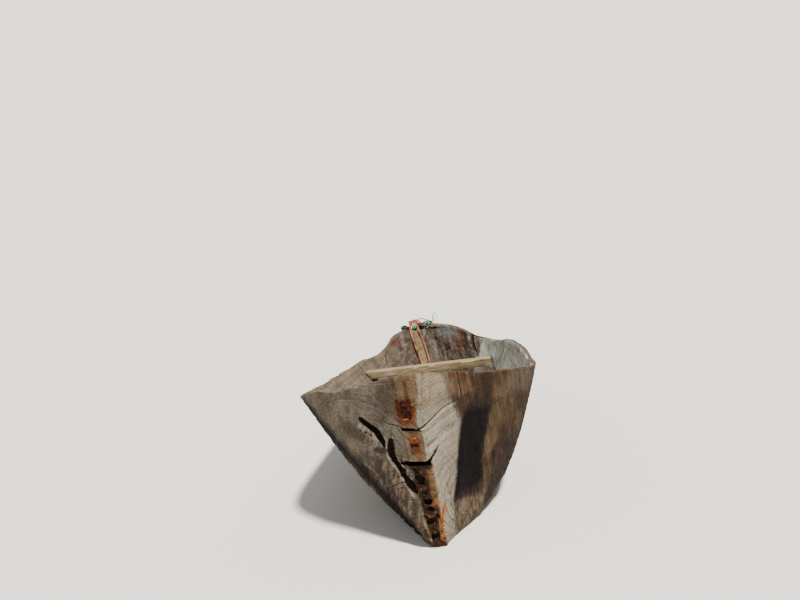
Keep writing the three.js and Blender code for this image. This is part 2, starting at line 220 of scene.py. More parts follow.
# Spikes as place across and height, and scabs of rust as place across, height and
# half sizes across, outwards and up
SPIKES = [[-0.014, 0.503], [0.013, 0.496], [0.004, 0.357]]
SPIKE_RADIUS = 0.004
SPIKE_LENGTH = 0.06
SPIKE_STANDS_OUT = 0.002
SPIKE_HEAD = (0.0072, 0.0036, 0.0075)
SCABS = [
    [-0.005, 0.481, 0.020, 0.0042, 0.022],
    [-0.009, 0.473, 0.015, 0.0050, 0.013],
    [-0.009, 0.4515, 0.0165, 0.0062, 0.0042],
    [0.004, 0.506, 0.006, 0.0034, 0.005],
    [-0.030, 0.509, 0.0045, 0.0030, 0.0065],
    [-0.003, 0.373, 0.012, 0.0026, 0.020],
    [0.000, 0.386, 0.004, 0.0040, 0.0035],
    [-0.002, 0.363, 0.0045, 0.0040, 0.0045],
]

# Thwart board, with its place along the hull and how far it tilts and skews across it
THWART_TOP = 0.362
THWART_RIGHT_END = 0.392
THWART_LEFT_END = -0.47
THWART_ALONG = 0.8
THWART_TILT = 0.04
THWART_SKEW = 0.1
THWART_WIDTH = 0.19
THWART_THICKNESS = 0.048
THWART_ROUNDING = 0.004
THWART_STEP = 0.007

# Turns of the lashing: place in the hole, x and z up the inside, place on the rim,
# x and z down the outside
LASHING_TURNS = [
    [
        -0.060,
        [[-0.064, 0.228], [-0.084, 0.266], [-0.105, 0.327], [-0.134, 0.463]],
        -0.151,
        [[-0.138, 0.480], [-0.112, 0.380], [-0.082, 0.290], [-0.062, 0.228]],
    ],
    [
        -0.044,
        [[-0.044, 0.228], [-0.044, 0.266], [-0.046, 0.320], [-0.065, 0.463]],
        -0.093,
        [[-0.082, 0.480], [-0.066, 0.380], [-0.050, 0.290], [-0.044, 0.228]],
    ],
]
HITCH = [
    [-0.145, 1.850, 0.604],
    [-0.150, 1.842, 0.622],
    [-0.130, 1.850, 0.645],
    [-0.104, 1.858, 0.652],
    [-0.080, 1.862, 0.643],
    [-0.068, 1.872, 0.622],
    [-0.080, 1.884, 0.610],
]
LED_END = [
    [-0.085, 1.862, 0.652],
    [-0.055, 1.880, 0.655],
    [-0.030, 1.905, 0.640],
    [0.000, 1.930, 0.628],
    [0.016, 1.945, 0.612],
]
TAIL = [
    [0.020, 1.925, 0.606],
    [0.034, 1.922, 0.630],
    [0.030, 1.918, 0.650],
    [0.042, 1.915, 0.668],
    [0.056, 1.913, 0.680],
]
TAIL_FRAY = [
    [0.028, 1.925, 0.608],
    [0.046, 1.928, 0.630],
    [0.064, 1.925, 0.648],
    [0.066, 1.922, 0.668],
]

# Ropes and cords: radius, and how far the strands run along them in one turn
ROPE_RADIUS = 0.0065
ROPE_PITCH = 0.042
WRAP_RADIUS = 0.0062
HITCH_RADIUS = 0.0055
WRAP_PITCH = 0.036
LED_RADIUS = 0.004
LED_PITCH = 0.03
TAIL_RADIUS = 0.0032
FRAY_RADIUS = 0.0022
# distance between the points of a turn of the lashing, and of a shorter rope or cord
TURN_STEP = 0.004
CORD_STEP = 0.003
ROPE_HOLE_RADIUS = 0.017
ROPE_HOLE_X = -0.052
ROPE_HOLE_HEIGHT = 0.195
ROPE_HOLE_LENGTH = 0.33
# wraps round the rim: their middle along and up, radii, number, and first and last place across
WRAPS = ((1.866, 0.630), (0.018, 0.018), 6, -0.156, -0.084)
# Crumpled rope and twine: place, radii, number of loops, radius of the twine, seed and
# the height it lies on
BUNDLE = ((-0.064, 1.868, 0.603), (0.024, 0.018, 0.022), 16, 0.0036, 7, 0.582)
NET_TIE = ((-0.116, 1.828, 0.604), (0.021, 0.016, 0.020), 34, 0.0017, 3, 0.58)
TANGLE = ((-0.02, 1.922, 0.61), (0.040, 0.02, 0.017), 34, 0.0017, 4, 0.595)
HANGING = ((-0.03, 1.895, 0.592), (0.026, 0.012, 0.024), 16, 0.0016, 6, 0.56)
SCRAP = ((-0.19, 1.81, 0.604), (0.03, 0.018, 0.017), 34, 0.0026, 5, 0.578)


# Noise

def hashed(cell, seed):
    """A number from 0 to 1 for each cell of a lattice."""
    n = cell[..., 0] * 73856093 ^ cell[..., 1] * 19349663 ^ cell[..., 2] * 83492791
    n = (n ^ (seed * 2654435761)) & 0xFFFFFFFF
    n = ((n ^ (n >> 15)) * 2246822519) & 0xFFFFFFFF
    n = ((n ^ (n >> 13)) * 3266489917) & 0xFFFFFFFF
    return ((n ^ (n >> 16)) & 0xFFFFFF) / 0xFFFFFF


def noise(points, size, seed):
    """Smooth noise from -1 to 1. size is one lump's size, or its size along each axis."""
    p = points / np.array(size, float)
    low = np.floor(p).astype(np.int64)
    f = p - low
    f = f * f * (3 - 2 * f)
    total = np.zeros(len(points))
    for corner in range(8):
        step = np.array([corner & 1, corner >> 1 & 1, corner >> 2 & 1])
        share = np.where(step, f, 1 - f).prod(axis=1)
        total += share * hashed(low + step, seed)
    return total * 2 - 1


def fractal(points, size, seed, octaves, fade=0.5):
    """Noise with finer and fainter noise laid over it."""
    total, reach, size = np.zeros(len(points)), 0.0, np.array(size, float)
    for octave in range(octaves):
        total += fade**octave * noise(points, size / 2**octave, seed + octave)
        reach += fade**octave
    return total / reach


def ramp(value, low, high):
    """0 below low and 1 above high, smoothly. With low above high it falls instead."""
    t = np.clip((value - low) / (high - low), 0, 1)
    return t * t * (3 - 2 * t)


# Hull surfaces

def sample(table, distance):
    """The columns of a table after its first, at distances from a stem head."""
    table = np.array(table, float)
    at, values = table[:, 0], table[:, 1:]
    slopes = np.diff(values, axis=0) / np.diff(at)[:, None]
    before, after = slopes[:-1], slopes[1:]
    same = before * after > 0
    mean = np.where(same, 2 * before * after / np.where(same, before + after, 1), 0)
    tangents = np.vstack([slopes[:1], mean, np.zeros_like(slopes[:1])])
    i = np.clip(np.searchsorted(at, distance, side="right") - 1, 0, len(at) - 2)
    span = (at[i + 1] - at[i])[..., None]
    t = np.clip((distance - at[i])[..., None] / span, 0, 1)
    curve = (
        values[i] * (1 + 2 * t) * (1 - t) ** 2
        + tangents[i] * span * t * (1 - t) ** 2
        + values[i + 1] * t * t * (3 - 2 * t)
        - tangents[i + 1] * span * t * t * (1 - t)
    )
    return np.moveaxis(curve, -1, 0)


def bow_rise(distance, bow):
    """How much higher the rim is at the bow than at the near end."""
    return BOW_RISE * np.where(bow, np.clip(1 - distance / BOW_RISE_REACH, 0, None), 0)


def rim_height(distance, bow, left):
    """Height of the rim at a distance from a stem head."""
    change = sample(RIM_CHANGE, np.where(bow, HALF - distance, distance - HALF))
    even = sample(OUTER, distance)[1] + bow_rise(distance, bow)
    return even + np.where(left, change[0], change[1])


def outer_section(distance, left):
    """Rim half breadth, keel height, bottom half breadth and fullness of one side."""
    rows = sample(OUTER, distance)
    return rows[0], rows[2], np.where(left, rows[3], rows[5]), np.where(left, rows[4], rows[6])


def inner_section(distance, left):
    """Rim half breadth, floor height, floor half breadth and fullness of one side."""
    rows = sample(INNER, distance)
    return rows[0], rows[1], np.where(left, rows[2], rows[4]), np.where(left, rows[3], rows[5])


def outer_half(distance, z, bow, left):
    """Half breadth of the outside at a height."""
    rim_half, keel_z, bottom_half, fullness = outer_section(distance, left)
    share = np.clip((z - keel_z) / (rim_height(distance, bow, left) - keel_z), 0, 1)
    return bottom_half + (rim_half - bottom_half) * share**fullness


def inner_half(distance, z, bow, left):
    """Half breadth of the hollow, and below its floor a negative number."""
    rim_half, floor_z, floor_half, fullness = inner_section(distance, left)
    share = np.clip((z - floor_z) / (rim_height(distance, bow, left) - floor_z), 0, 1)
    half = floor_half + (rim_half - floor_half) * share**fullness
    return np.where((z < floor_z) | (distance < HOLLOW_START), -0.01, half)


KEEL_AT = np.linspace(0, STEM_FOOT, 200)
KEEL_Z = sample(OUTER, KEEL_AT)[2]


def stem_distance(z):
    """How far the raked stem face stands back from the stem head at a height."""
    return np.interp(z, KEEL_Z[::-1], KEEL_AT[::-1])


# Hull mesh: columns run round the hull and rows from the keel line up, over the rim and in
# columns on half the flat of each stem
NEAR_CAP_COLUMNS = 10
FAR_CAP_COLUMNS = 4
# steps between the columns behind it, how far they stay fine and how fast they grow from there
NEAR_STEP = 0.003
FAR_STEP = 0.008
NEAR_FINE_REACH = 0.26
FAR_FINE_REACH = 0.1
NEAR_GROWTH = 1.06
FAR_GROWTH = 1.05
LONGEST_STEP = 0.03
OUTER_ROWS = 112
INNER_ROWS = 44
RIM_ROWS = 7
BOTTOM_ROWS = 5
FLOOR_ROWS = 5
# height of the rounded rim, how far the rows under and in the hull are drawn away from a stem
# at its middle line, and how fast that fades along the hull
RIM_ROUNDING = 0.004
BOTTOM_DRAW = 0.04
FLOOR_DRAW = 0.015
DRAW_FADE = 0.15
# length over which the flare of a stem's sides is taken
FLARE_STEP = 0.02


def side_shares(step, fine_reach, growth):
    """Shares of the half length from a stem to the middle, close together near the stem."""
    places, at = [], 0.0
    while at < HALF - step / 2:
        places.append(at / HALF)
        if at > fine_reach:
            step = min(step * growth, LONGEST_STEP)
        at += step
    return places


def half_columns():
    """Columns of one side from stem to stem, as rows of cap share, side share and bow."""
    near_cap = [[c / NEAR_CAP_COLUMNS, 0, 0] for c in range(NEAR_CAP_COLUMNS)]
    near = [[1, s, 0] for s in side_shares(NEAR_STEP, NEAR_FINE_REACH, NEAR_GROWTH)]
    far = [[1, s, 1] for s in side_shares(FAR_STEP, FAR_FINE_REACH, FAR_GROWTH)]
    far_cap = [[c / FAR_CAP_COLUMNS, 0, 1] for c in range(FAR_CAP_COLUMNS)]
    columns = near_cap + near + [[1, 1, 0]] + far[::-1] + far_cap[::-1]
    return np.array(columns, float)


def outer_points(columns, t, left):
    """Points of the outside at shares t of the height, for one side, as x, distance and z."""
    cap, side, bow = (columns[:, k][None, :] for k in range(3))
    t = t[:, None]
    z = 0.5 * t + 0 * side
    for _ in range(8):
        stem = stem_distance(z)
        bottom = outer_section(stem, left)[2]
        flare = outer_half(stem + FLARE_STEP, z, bow, left) - outer_half(stem, z, bow, left)
        corner = np.maximum(RECESS_HALF - bottom, 0) * FLARE_STEP / flare
        start = stem + np.where(cap < 1, 0, corner)
        across = cap * RECESS_HALF
        on_cap = stem + np.maximum(across - bottom, 0) * FLARE_STEP / flare
        distance = np.where(cap < 1, on_cap, start + (HALF - start) * side)
        z = rim_height(distance, bow, left) * t ** (1 / outer_section(distance, left)[3])
    x = np.where(cap < 1, across, outer_half(distance, z, bow, left))
    return x, distance, z


def inner_points(columns, t, rim_distance, left):
    """Points of the inside at shares t of its height, for one side."""
    cap, side, bow = (columns[:, k][None, :] for k in range(3))
    back = rim_distance - rim_distance[:, side[0] == 0].max()
    distance = np.where(side > 0, back + HOLLOW_START * np.exp(-back / DRAW_FADE), HOLLOW_START)
    rim_half, floor_z, floor_half, fullness = inner_section(distance, left)
    t = t[:, None]
    z = floor_z + (rim_height(distance, bow, left) - floor_z) * t ** (1 / fullness)
    half = floor_half + (rim_half - floor_half) * t
    return cap * half, distance + 0 * t, z


def side_grid(columns, left):
    """All rows of one side as an array of rows, columns and x, distance, z."""
    outer = np.stack(outer_points(columns, np.linspace(0, 1, OUTER_ROWS), left), -1)
    outer[-1, :, 2] -= RIM_ROUNDING
    inner = np.stack(
        inner_points(columns, np.linspace(1, 0, INNER_ROWS), outer[-1:, :, 1], left), -1
    )
    inner[0, :, 2] -= RIM_ROUNDING
    rows = []
    for k in range(BOTTOM_ROWS):
        share = 1 - k / BOTTOM_ROWS
        row = outer[0].copy()
        row[:, 0] *= 1 - share
        row[:, 1] += share * BOTTOM_DRAW * np.exp(-(row[:, 1] - STEM_FOOT) / DRAW_FADE)
        row[:, 2] = 0
        rows.append(row)
    rows.extend(outer)
    for k in range(1, RIM_ROWS):
        share = k / RIM_ROWS
        row = outer[-1] * (1 - share) + inner[0] * share
        row[:, 2] += RIM_ROUNDING * (1 - abs(2 * share - 1) ** 2.5)
        rows.append(row)
    rows.extend(inner)
    for k in range(1, FLOOR_ROWS + 1):
        share = k / FLOOR_ROWS
        row = inner[-1].copy()
        row[:, 0] *= 1 - share
        row[:, 1] += share * FLOOR_DRAW * np.exp(-(row[:, 1] - HOLLOW_START) / DRAW_FADE)
        row[:, 2] = sample(INNER, row[:, 1])[1]
        rows.append(row)
    return np.array(rows)


def hull_grid():
    """The whole surface as rows of points, first down the left side and back up the right."""
    columns = half_columns()
    left, right = side_grid(columns, True), side_grid(columns, False)
    for grid in (left, right):
        on_bow = columns[:, 2][None, :] > 0
        grid[..., 1] = np.where(on_bow, HALF - grid[..., 1], grid[..., 1] - HALF)
    left *= [-1, 1, 1]
    middle = (left[:, [0, -1]] + right[:, [0, -1]]) / 2
    left[:, [0, -1]] = right[:, [0, -1]] = middle
    left[[0, -1]] = right[[0, -1]] = (left[[0, -1]] + right[[0, -1]]) / 2
    return np.concatenate([left, right[:, ::-1][:, 1:]], axis=1)


# Blender helpers

def deselect():
    bpy.ops.object.select_all(action="DESELECT")


def only(piece):
    deselect()
    piece.select_set(True)
    bpy.context.view_layer.objects.active = piece


def read_points(piece):
    co = np.empty(len(piece.data.vertices) * 3)
    piece.data.vertices.foreach_get("co", co)
    return co.reshape(-1, 3)


def write_points(piece, points):
    piece.data.vertices.foreach_set("co", np.ravel(points))
    piece.data.update()


def read_normals(piece):
    normals = np.empty(len(piece.data.vertices) * 3)
    piece.data.vertices.foreach_get("normal", normals)
    return normals.reshape(-1, 3)


def set_field(piece, name, values):
    """A float or colour attribute on the piece's points."""
    colour = values.ndim == 2
    kind = "FLOAT_COLOR" if colour else "FLOAT"
    field = piece.data.attributes.new(name, kind, "POINT")
    if colour:
        values = np.concatenate([values, np.ones((len(values), 1))], axis=1)
    field.data.foreach_set("color" if colour else "value", np.ravel(values))


def named(name):
    """Names the active piece and its mesh."""
    piece = bpy.context.active_object
    piece.name = name
    piece.data.name = name
    return piece


def apply_all(piece):
    only(piece)
    for modifier in list(piece.modifiers):
        bpy.ops.object.modifier_apply(modifier=modifier.name)


def apply_place(piece):
    only(piece)
    bpy.ops.object.transform_apply(location=True, rotation=True, scale=True)


def in_edit(piece, *steps):
    """Runs mesh operators in edit mode on all of a piece."""
    only(piece)
    bpy.ops.object.mode_set(mode="EDIT")
    bpy.ops.mesh.select_all(action="SELECT")
    for step in steps:
        step()
    bpy.ops.object.mode_set(mode="OBJECT")


def outward(piece):
    """Merges doubled points and turns all faces outwards."""
    in_edit(
        piece,
        lambda: bpy.ops.mesh.remove_doubles(threshold=1e-5),
        lambda: bpy.ops.mesh.normals_make_consistent(inside=False),
    )


def join(name, parts):
    """Makes one piece of several."""
    deselect()
    for part in parts:
        part.select_set(True)
    bpy.context.view_layer.objects.active = parts[0]
    bpy.ops.object.join()
    return named(name)


def swept(name, rings):
    """A closed body through rings of points, with its two ends drawn in to their middles."""
    rings = np.asarray(rings, float)
    ends = rings[[0, -1]].mean(axis=1, keepdims=True).repeat(rings.shape[1], axis=1)
    rings = np.concatenate([ends[:1], rings, ends[1:]])
    rings = np.concatenate([rings, rings[:, :1]], axis=1)
    rows, columns = rings.shape[:2]
    bpy.ops.mesh.primitive_grid_add(x_subdivisions=columns - 1, y_subdivisions=rows - 1)
    piece = named(name)
    write_points(piece, rings)
    outward(piece)
    return piece


def part_way(t, start, stop, first, last):
    """Between two points, the first at t = start and the last at t = stop."""
    return (stop - t) / (stop - start) * first + (t - start) / (stop - start) * last


def smooth_path(points, step):
    """Points every step along a smooth curve through a few given ones."""
    points = np.asarray(points, float)
    points = np.vstack([2 * points[0] - points[1], points, 2 * points[-1] - points[-2]])
    gaps = np.linalg.norm(np.diff(points, axis=0), axis=1)
    knots = np.concatenate([[0], np.cumsum(np.sqrt(gaps))])
    curve = []
    for i in range(1, len(points) - 2):
        p, k = points[i - 1 : i + 3], knots[i - 1 : i + 3]
        count = max(int(np.linalg.norm(p[2] - p[1]) / step), 1)
        t = np.linspace(k[1], k[2], count, endpoint=False)[:, None]
        legs = [part_way(t, k[j], k[j + 1], p[j], p[j + 1]) for j in range(3)]
        bends = [part_way(t, k[j], k[j + 2], legs[j], legs[j + 1]) for j in range(2)]
        curve.append(part_way(t, k[1], k[2], *bends))
    return np.vstack(curve + [points[-2:-1]])


def frames(path):
    """Two directions square to a path at each of its points, which turn as little as they can."""
    ahead = np.gradient(path, axis=0)
    ahead /= np.linalg.norm(ahead, axis=1, keepdims=True)
    side = np.cross(ahead[0], [0.3, 0.5, 0.81])
    sides = []
    for direction in ahead:
        side = side - direction * side.dot(direction)
        side = side / np.linalg.norm(side)
        sides.append(side)
    sides = np.array(sides)
    return sides, np.cross(ahead, sides)


def cord(name, path, radius, sides=7):
    """A round cord along a path."""
    side, up = frames(path)
    angles = np.linspace(0, 2 * np.pi, sides, endpoint=False)
    radius = np.broadcast_to(radius, len(path))[:, None, None]
    around = side[:, None] * np.cos(angles)[:, None] + up[:, None] * np.sin(angles)[:, None]
    return swept(name, path[:, None] + radius * around)


def laid_rope(name, path, radius, pitch):
    """Three strands twisted round each other along a path."""
    side, up = frames(path)
    along = np.concatenate([[0], np.cumsum(np.linalg.norm(np.diff(path, axis=0), axis=1))])
    parts = []
    for k in range(3):
        turn = 2 * np.pi * (along / pitch + k / 3)
        middle = path + 0.53 * radius * (side * np.cos(turn)[:, None] + up * np.sin(turn)[:, None])
        parts.append(cord(f"{name}_strand_{k}", middle, 0.52 * radius))
    return join(name, parts)


def finish_piece(piece, slot, materials, *nodes, smooth=40):
    """Smooths the piece, gives it its look and puts it on the hull's body."""
    only(piece)
    bpy.ops.object.shade_smooth_by_angle(angle=math.radians(smooth))
    if not piece.data.materials:
        for material in materials:
            piece.data.materials.append(material)
    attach(piece, "root")
    if nodes:
        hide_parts(*nodes)


def srgb(red, green, blue):
    """A colour given as 0 to 255 on a screen, as linear light."""
    c = np.array([red, green, blue]) / 255
    return np.where(c <= 0.04045, c / 12.92, ((c + 0.055) / 1.055) ** 2.4)


def blend(base, colour, share):
    """A tone mixed with a colour by a share at each point."""
    return base + (colour - base) * share[:, None]


# Camera
CAMERA_PLACE = (0.1647, -4.25, 0.7875)
CAMERA_RIGHT = (0.98371, 0.05887, -0.16985)
CAMERA_UP = (0.16992, 0.00384, 0.98545)
CAMERA_AHEAD = (-0.05867, 0.99826, 0.00623)
FOCAL_PIXELS = 780
PICTURE_WIDTH = 800
SENSOR_WIDTH = 36


def add_camera():
    """The camera, low and about two metres ahead of the near end."""
    bpy.ops.object.camera_add(location=CAMERA_PLACE)
    camera = bpy.context.active_object
    axes = [Vector(CAMERA_RIGHT), Vector(CAMERA_UP), -Vector(CAMERA_AHEAD)]
    turn = Matrix(axes).transposed().to_4x4()
    camera.matrix_world = Matrix.Translation(CAMERA_PLACE) @ turn
    camera.data.sensor_fit = "HORIZONTAL"
    camera.data.sensor_width = SENSOR_WIDTH
    camera.data.lens = SENSOR_WIDTH * FOCAL_PIXELS / PICTURE_WIDTH
    bpy.context.scene.camera = camera


# Node materials

class Look:
    """A material's node tree, built one node at a time."""

    def __init__(self, name, roughness, specular):
        self.material = bpy.data.materials.new(name)
        self.material.use_nodes = True
        self.tree = self.material.node_tree
        self.shader = self.tree.nodes["Principled BSDF"]
        self.shader.inputs["Roughness"].default_value = roughness
        self.shader.inputs["Specular IOR Level"].default_value = specular
        self.place = self.node("ShaderNodeTexCoord").outputs["Object"]

    def node(self, kind, inputs=(), **settings):
        made = self.tree.nodes.new(kind)
        for key, value in settings.items():
            setattr(made, key, value)
        for key, value in dict(inputs).items():
            self.feed(made.inputs[key], value)
        return made

    def feed(self, socket, value):
        if isinstance(value, bpy.types.NodeSocket):
            self.tree.links.new(value, socket)
        elif isinstance(value, np.ndarray) or isinstance(value, tuple) and len(value) == 3:
            full = tuple(float(v) for v in value)
            socket.default_value = full + (1,) if socket.type == "RGBA" else full
        else:
            socket.default_value = value

    def field(self, name, colour=False):
        made = self.node("ShaderNodeAttribute", attribute_name=name)
        return made.outputs["Color" if colour else "Fac"]

    def stretched(self, scale, turn=(0, 0, 0)):
        values = {"Vector": self.place, "Scale": scale, "Rotation": turn}
        return self.node("ShaderNodeMapping", values).outputs[0]

    def noise(self, where, scale, detail, roughness, distortion=0.0):
        values = {
            "Vector": where,
            "Scale": scale,
            "Detail": detail,
            "Roughness": roughness,
            "Distortion": distortion,
        }
        return self.node("ShaderNodeTexNoise", values).outputs[0]

    def line_noise(self, at, scale, detail):
        values = {"W": at, "Scale": scale, "Detail": detail}
        return self.node("ShaderNodeTexNoise", values, noise_dimensions="1D").outputs[0]

    def cells(self, where, scale):
        made = self.node("ShaderNodeTexVoronoi", {"Vector": where, "Scale": scale})
        return made.outputs["Distance"]

    def between(self, value, low, high, to_low=0.0, to_high=1.0):
        made = self.node(
            "ShaderNodeMapRange",
            {0: value, 1: low, 2: high, 3: to_low, 4: to_high},
            interpolation_type="SMOOTHSTEP",
        )
        return made.outputs[0]

    def maths(self, operation, first, second):
        made = self.node("ShaderNodeMath", {0: first, 1: second}, operation=operation)
        return made.outputs[0]

    def product(self, first, *others):
        for other in others:
            first = self.maths("MULTIPLY", first, other)
        return first

    def mix(self, share, first, second, how="MIX"):
        made = self.node("ShaderNodeMix", data_type="RGBA", blend_type=how)
        self.feed(made.inputs[0], share)
        self.feed(made.inputs[6], first)
        self.feed(made.inputs[7], second)
        return made.outputs[2]

    def colour(self, value):
        self.feed(self.shader.inputs["Base Color"], value)

    def shaded_tone(self, shade):
        """Colours by the piece's own tone, made lighter and darker by a shade."""
        tone = self.field("tone", colour=True)
        grey = self.node("ShaderNodeCombineColor", {0: shade, 1: shade, 2: shade}).outputs[0]
        self.colour(self.mix(1.0, tone, grey, "MULTIPLY"))

    def bump(self, height, distance):
        """Adds relief on top of what the shader already has."""
        made = self.node("ShaderNodeBump", {"Height": height, "Distance": distance})
        socket = self.shader.inputs["Normal"]
        if socket.is_linked:
            self.feed(made.inputs["Normal"], socket.links[0].from_socket)
        self.feed(socket, made.outputs[0])


def weathered_wood():
    """Grey bare wood: the broad tone comes from the piece, and grain and checks from here."""
    look = Look("weathered_wood", roughness=0.95, specular=0.06)
    ring = look.field("ring")
    fibres = look.noise(look.stretched((150, 10, 150)), 1.0, 5.0, 0.65)
    fine_rings = look.line_noise(ring, 240.0, 2.0)
    broad_rings = look.line_noise(ring, 55.0, 2.0)
    blotches = look.noise(look.stretched((16, 5, 11)), 1.0, 6.0, 0.65)
    specks = look.noise(look.place, 300.0, 4.0, 0.75)
    patchy = look.noise(look.stretched((24, 8, 24)), 1.0, 3.0, 0.5)
    lines = look.between(look.line_noise(ring, 130.0, 1.0), 0.33, 0.27)
    checks = look.product(lines, look.between(patchy, 0.5, 0.62))
    shade = look.product(
        look.between(fine_rings, 0.3, 0.7, 0.72, 1.2),
        look.between(broad_rings, 0.25, 0.75, 0.86, 1.1),
        look.between(fibres, 0.25, 0.75, 0.72, 1.26),
        look.between(blotches, 0.3, 0.7, 0.74, 1.2),
        look.between(specks, 0.32, 0.68, 0.74, 1.22),
        look.between(checks, 0.0, 1.0, 1.0, 0.42),
    )
    look.shaded_tone(shade)
    look.bump(fibres, 0.0018)
    look.bump(fine_rings, 0.0014)
    look.bump(look.maths("SUBTRACT", 1.0, checks), 0.0025)
    look.bump(specks, 0.0006)
    return look.material


def shaded_torn_wood():
    """Dark broken wood inside splits and rot pockets, made darker still as painted shade."""
    look = Look("shaded_torn_wood", roughness=0.95, specular=0.05)
    lumps = look.noise(look.stretched((90, 40, 140)), 1.0, 6.0, 0.65)
    fine = look.noise(look.place, 380.0, 3.0, 0.6)
    # near-black lumps: dark broken wood with painted shade added
    dark = look.mix(look.between(lumps, 0.35, 0.65), srgb(16, 13, 12), srgb(48, 37, 30))
    look.colour(look.mix(look.between(fine, 0.55, 0.8, 0.0, 0.5), dark, srgb(100, 74, 55)))
    look.bump(lumps, 0.004)
    look.bump(fine, 0.001)
    return look.material


def board_wood():
    """Bleached sawn board, its grain along its length."""
    look = Look("board_wood", roughness=0.85, specular=0.2)
    turn = (0, -THWART_TILT, THWART_SKEW)
    grain = look.noise(look.stretched((6, 90, 90), turn), 1.0, 5.0, 0.6, 0.2)
    fine = look.noise(look.stretched((30, 420, 420), turn), 1.0, 3.0, 0.6)
    shade = look.product(
        look.between(grain, 0.3, 0.7, 0.72, 1.18), look.between(fine, 0.3, 0.7, 0.85, 1.12)
    )
    look.shaded_tone(shade)
    look.bump(grain, 0.0015)
    look.bump(fine, 0.0005)
    return look.material


def rusty_iron():
    """Flaking rust with small pits."""
    look = Look("rusty_iron", roughness=0.95, specular=0.05)
    flakes = look.noise(look.place, 260.0, 5.0, 0.65)
    look.shaded_tone(look.between(flakes, 0.3, 0.7, 0.6, 1.3))
    look.bump(flakes, 0.0025)
    look.bump(look.cells(look.place, 420.0), 0.0008)
    return look.material


def twine_look(name, roughness):
    """Worn plastic or fibre cord."""
    look = Look(name, roughness=roughness, specular=0.25)
    fibres = look.noise(look.place, 700.0, 3.0, 0.6)
    look.shaded_tone(look.between(fibres, 0.3, 0.7, 0.72, 1.2))
    look.bump(fibres, 0.0006)
    return look.material


# Tones of the hull, as named colours
GREY = srgb(98, 90, 79)
GREY_BROWN = srgb(82, 72, 60)
PANEL_GREY = srgb(104, 96, 85)
PANEL_TAN = srgb(95, 86, 74)
PANEL_SHADE = srgb(79, 70, 63)
PANEL_BROWN = srgb(60, 50, 42)
PANEL_DARK = srgb(37, 30, 26)
VEIN = srgb(112, 99, 84)
FIBRE_WHITE = srgb(150, 142, 128)
STAIN = srgb(38, 30, 33)
COLUMN_BROWN = srgb(85, 70, 52)
COLUMN_RUST = srgb(94, 52, 28)
COLUMN_STREAK = srgb(58, 36, 22)
PALE_TOP = srgb(118, 107, 91)
PALE_LOW = srgb(121, 113, 101)
BROWN_TOP = srgb(72, 56, 41)
BROWN_DEEP = srgb(52, 40, 30)
WORN_BROWN = srgb(62, 49, 37)
WORN_OLIVE = srgb(80, 66, 48)
RED_BROWN = srgb(44, 32, 28)
TAR = srgb(13, 12, 13)
TAR_BROWN = srgb(42, 33, 29)
LOW_PALE = srgb(98, 86, 72)
EDGE_TAN = srgb(122, 107, 89)
ROT_BROWN = srgb(44, 28, 20)
OCHRE = srgb(92, 68, 44)
ORANGE_RUST = srgb(116, 66, 38)
ORANGE_PALE = srgb(130, 98, 68)
# pale grey of the hollow's right side, lightened past its own tone as painted light
INNER_GREY_PAINTED_LIGHT = srgb(208, 206, 192)
INNER_WARM = srgb(118, 104, 88)
ROUGH_DARK = srgb(80, 68, 58)
ROUGH_GREY = srgb(112, 106, 98)
ROUGH_BLUE = srgb(100, 98, 96)
OLIVE_TAN = srgb(124, 108, 76)
DARK_BROWN = srgb(46, 35, 27)
LOW_DARK = srgb(26, 22, 20)
RUST_PURPLE = srgb(25, 14, 13)
RUST_RED = srgb(60, 26, 16)
# pale orange rust, brightened as a painted highlight
RUST_LIP_HIGHLIGHT = srgb(142, 82, 50)
BOARD_TAN = srgb(156, 135, 101)
# the board's front face, olive and darker than its top as painted shade
BOARD_OLIVE_SHADED = srgb(98, 88, 61)
BOARD_FRONT_SHADED = srgb(108, 94, 71)
BOARD_GREY = srgb(158, 146, 124)
ROPE_ORANGE = srgb(160, 88, 66)
ROPE_SALMON = srgb(180, 112, 88)
ROPE_FADED = srgb(166, 130, 106)
ROPE_DIRT = srgb(84, 56, 40)
ROPE_RED = srgb(190, 62, 52)
NET_GREEN = srgb(72, 142, 98)
NET_PALE = srgb(150, 190, 160)
NET_DEEP = srgb(30, 84, 56)
TWINE_DARK = srgb(30, 52, 42)
TWINE_GREEN = srgb(52, 98, 72)
TWINE_BLACK = srgb(20, 22, 22)


def moved(line, across, up):
    """A line's points, moved across and up."""
    return [(x + across, z + up) for x, z in line]


# Lines on the hull's end faces, as places across and heights
LEFT_LOW_EDGE = [(-0.42, 0.455), (-0.351, 0.376), (-0.26, 0.268), (-0.17, 0.15), (-0.05, 0.0)]
LOW_ARC = [(-0.2, 0.268), (-0.172, 0.252), (-0.158, 0.228), (-0.15, 0.2)]
TORN_FIBRES = [(-0.176, 0.422), (-0.164, 0.412), (-0.143, 0.397), (-0.121, 0.377)]
SPLIT_LINE = [(x, z) for x, z, _ in LONG_SPLIT]
SPLIT_LEFT_LIP = moved(SPLIT_LINE[4:], -0.013, -0.004)
SPLIT_RIGHT_LIP = moved(SPLIT_LINE[6:9], 0.013, 0.003)
BETWEEN_SPLITS = [(-0.096, 0.39), (-0.0965, 0.355)]
WORN_CRACK_LIP_HIGHLIGHT = moved([(x, z) for x, z, _ in RIGHT_CRACK], 0.003, -0.005)
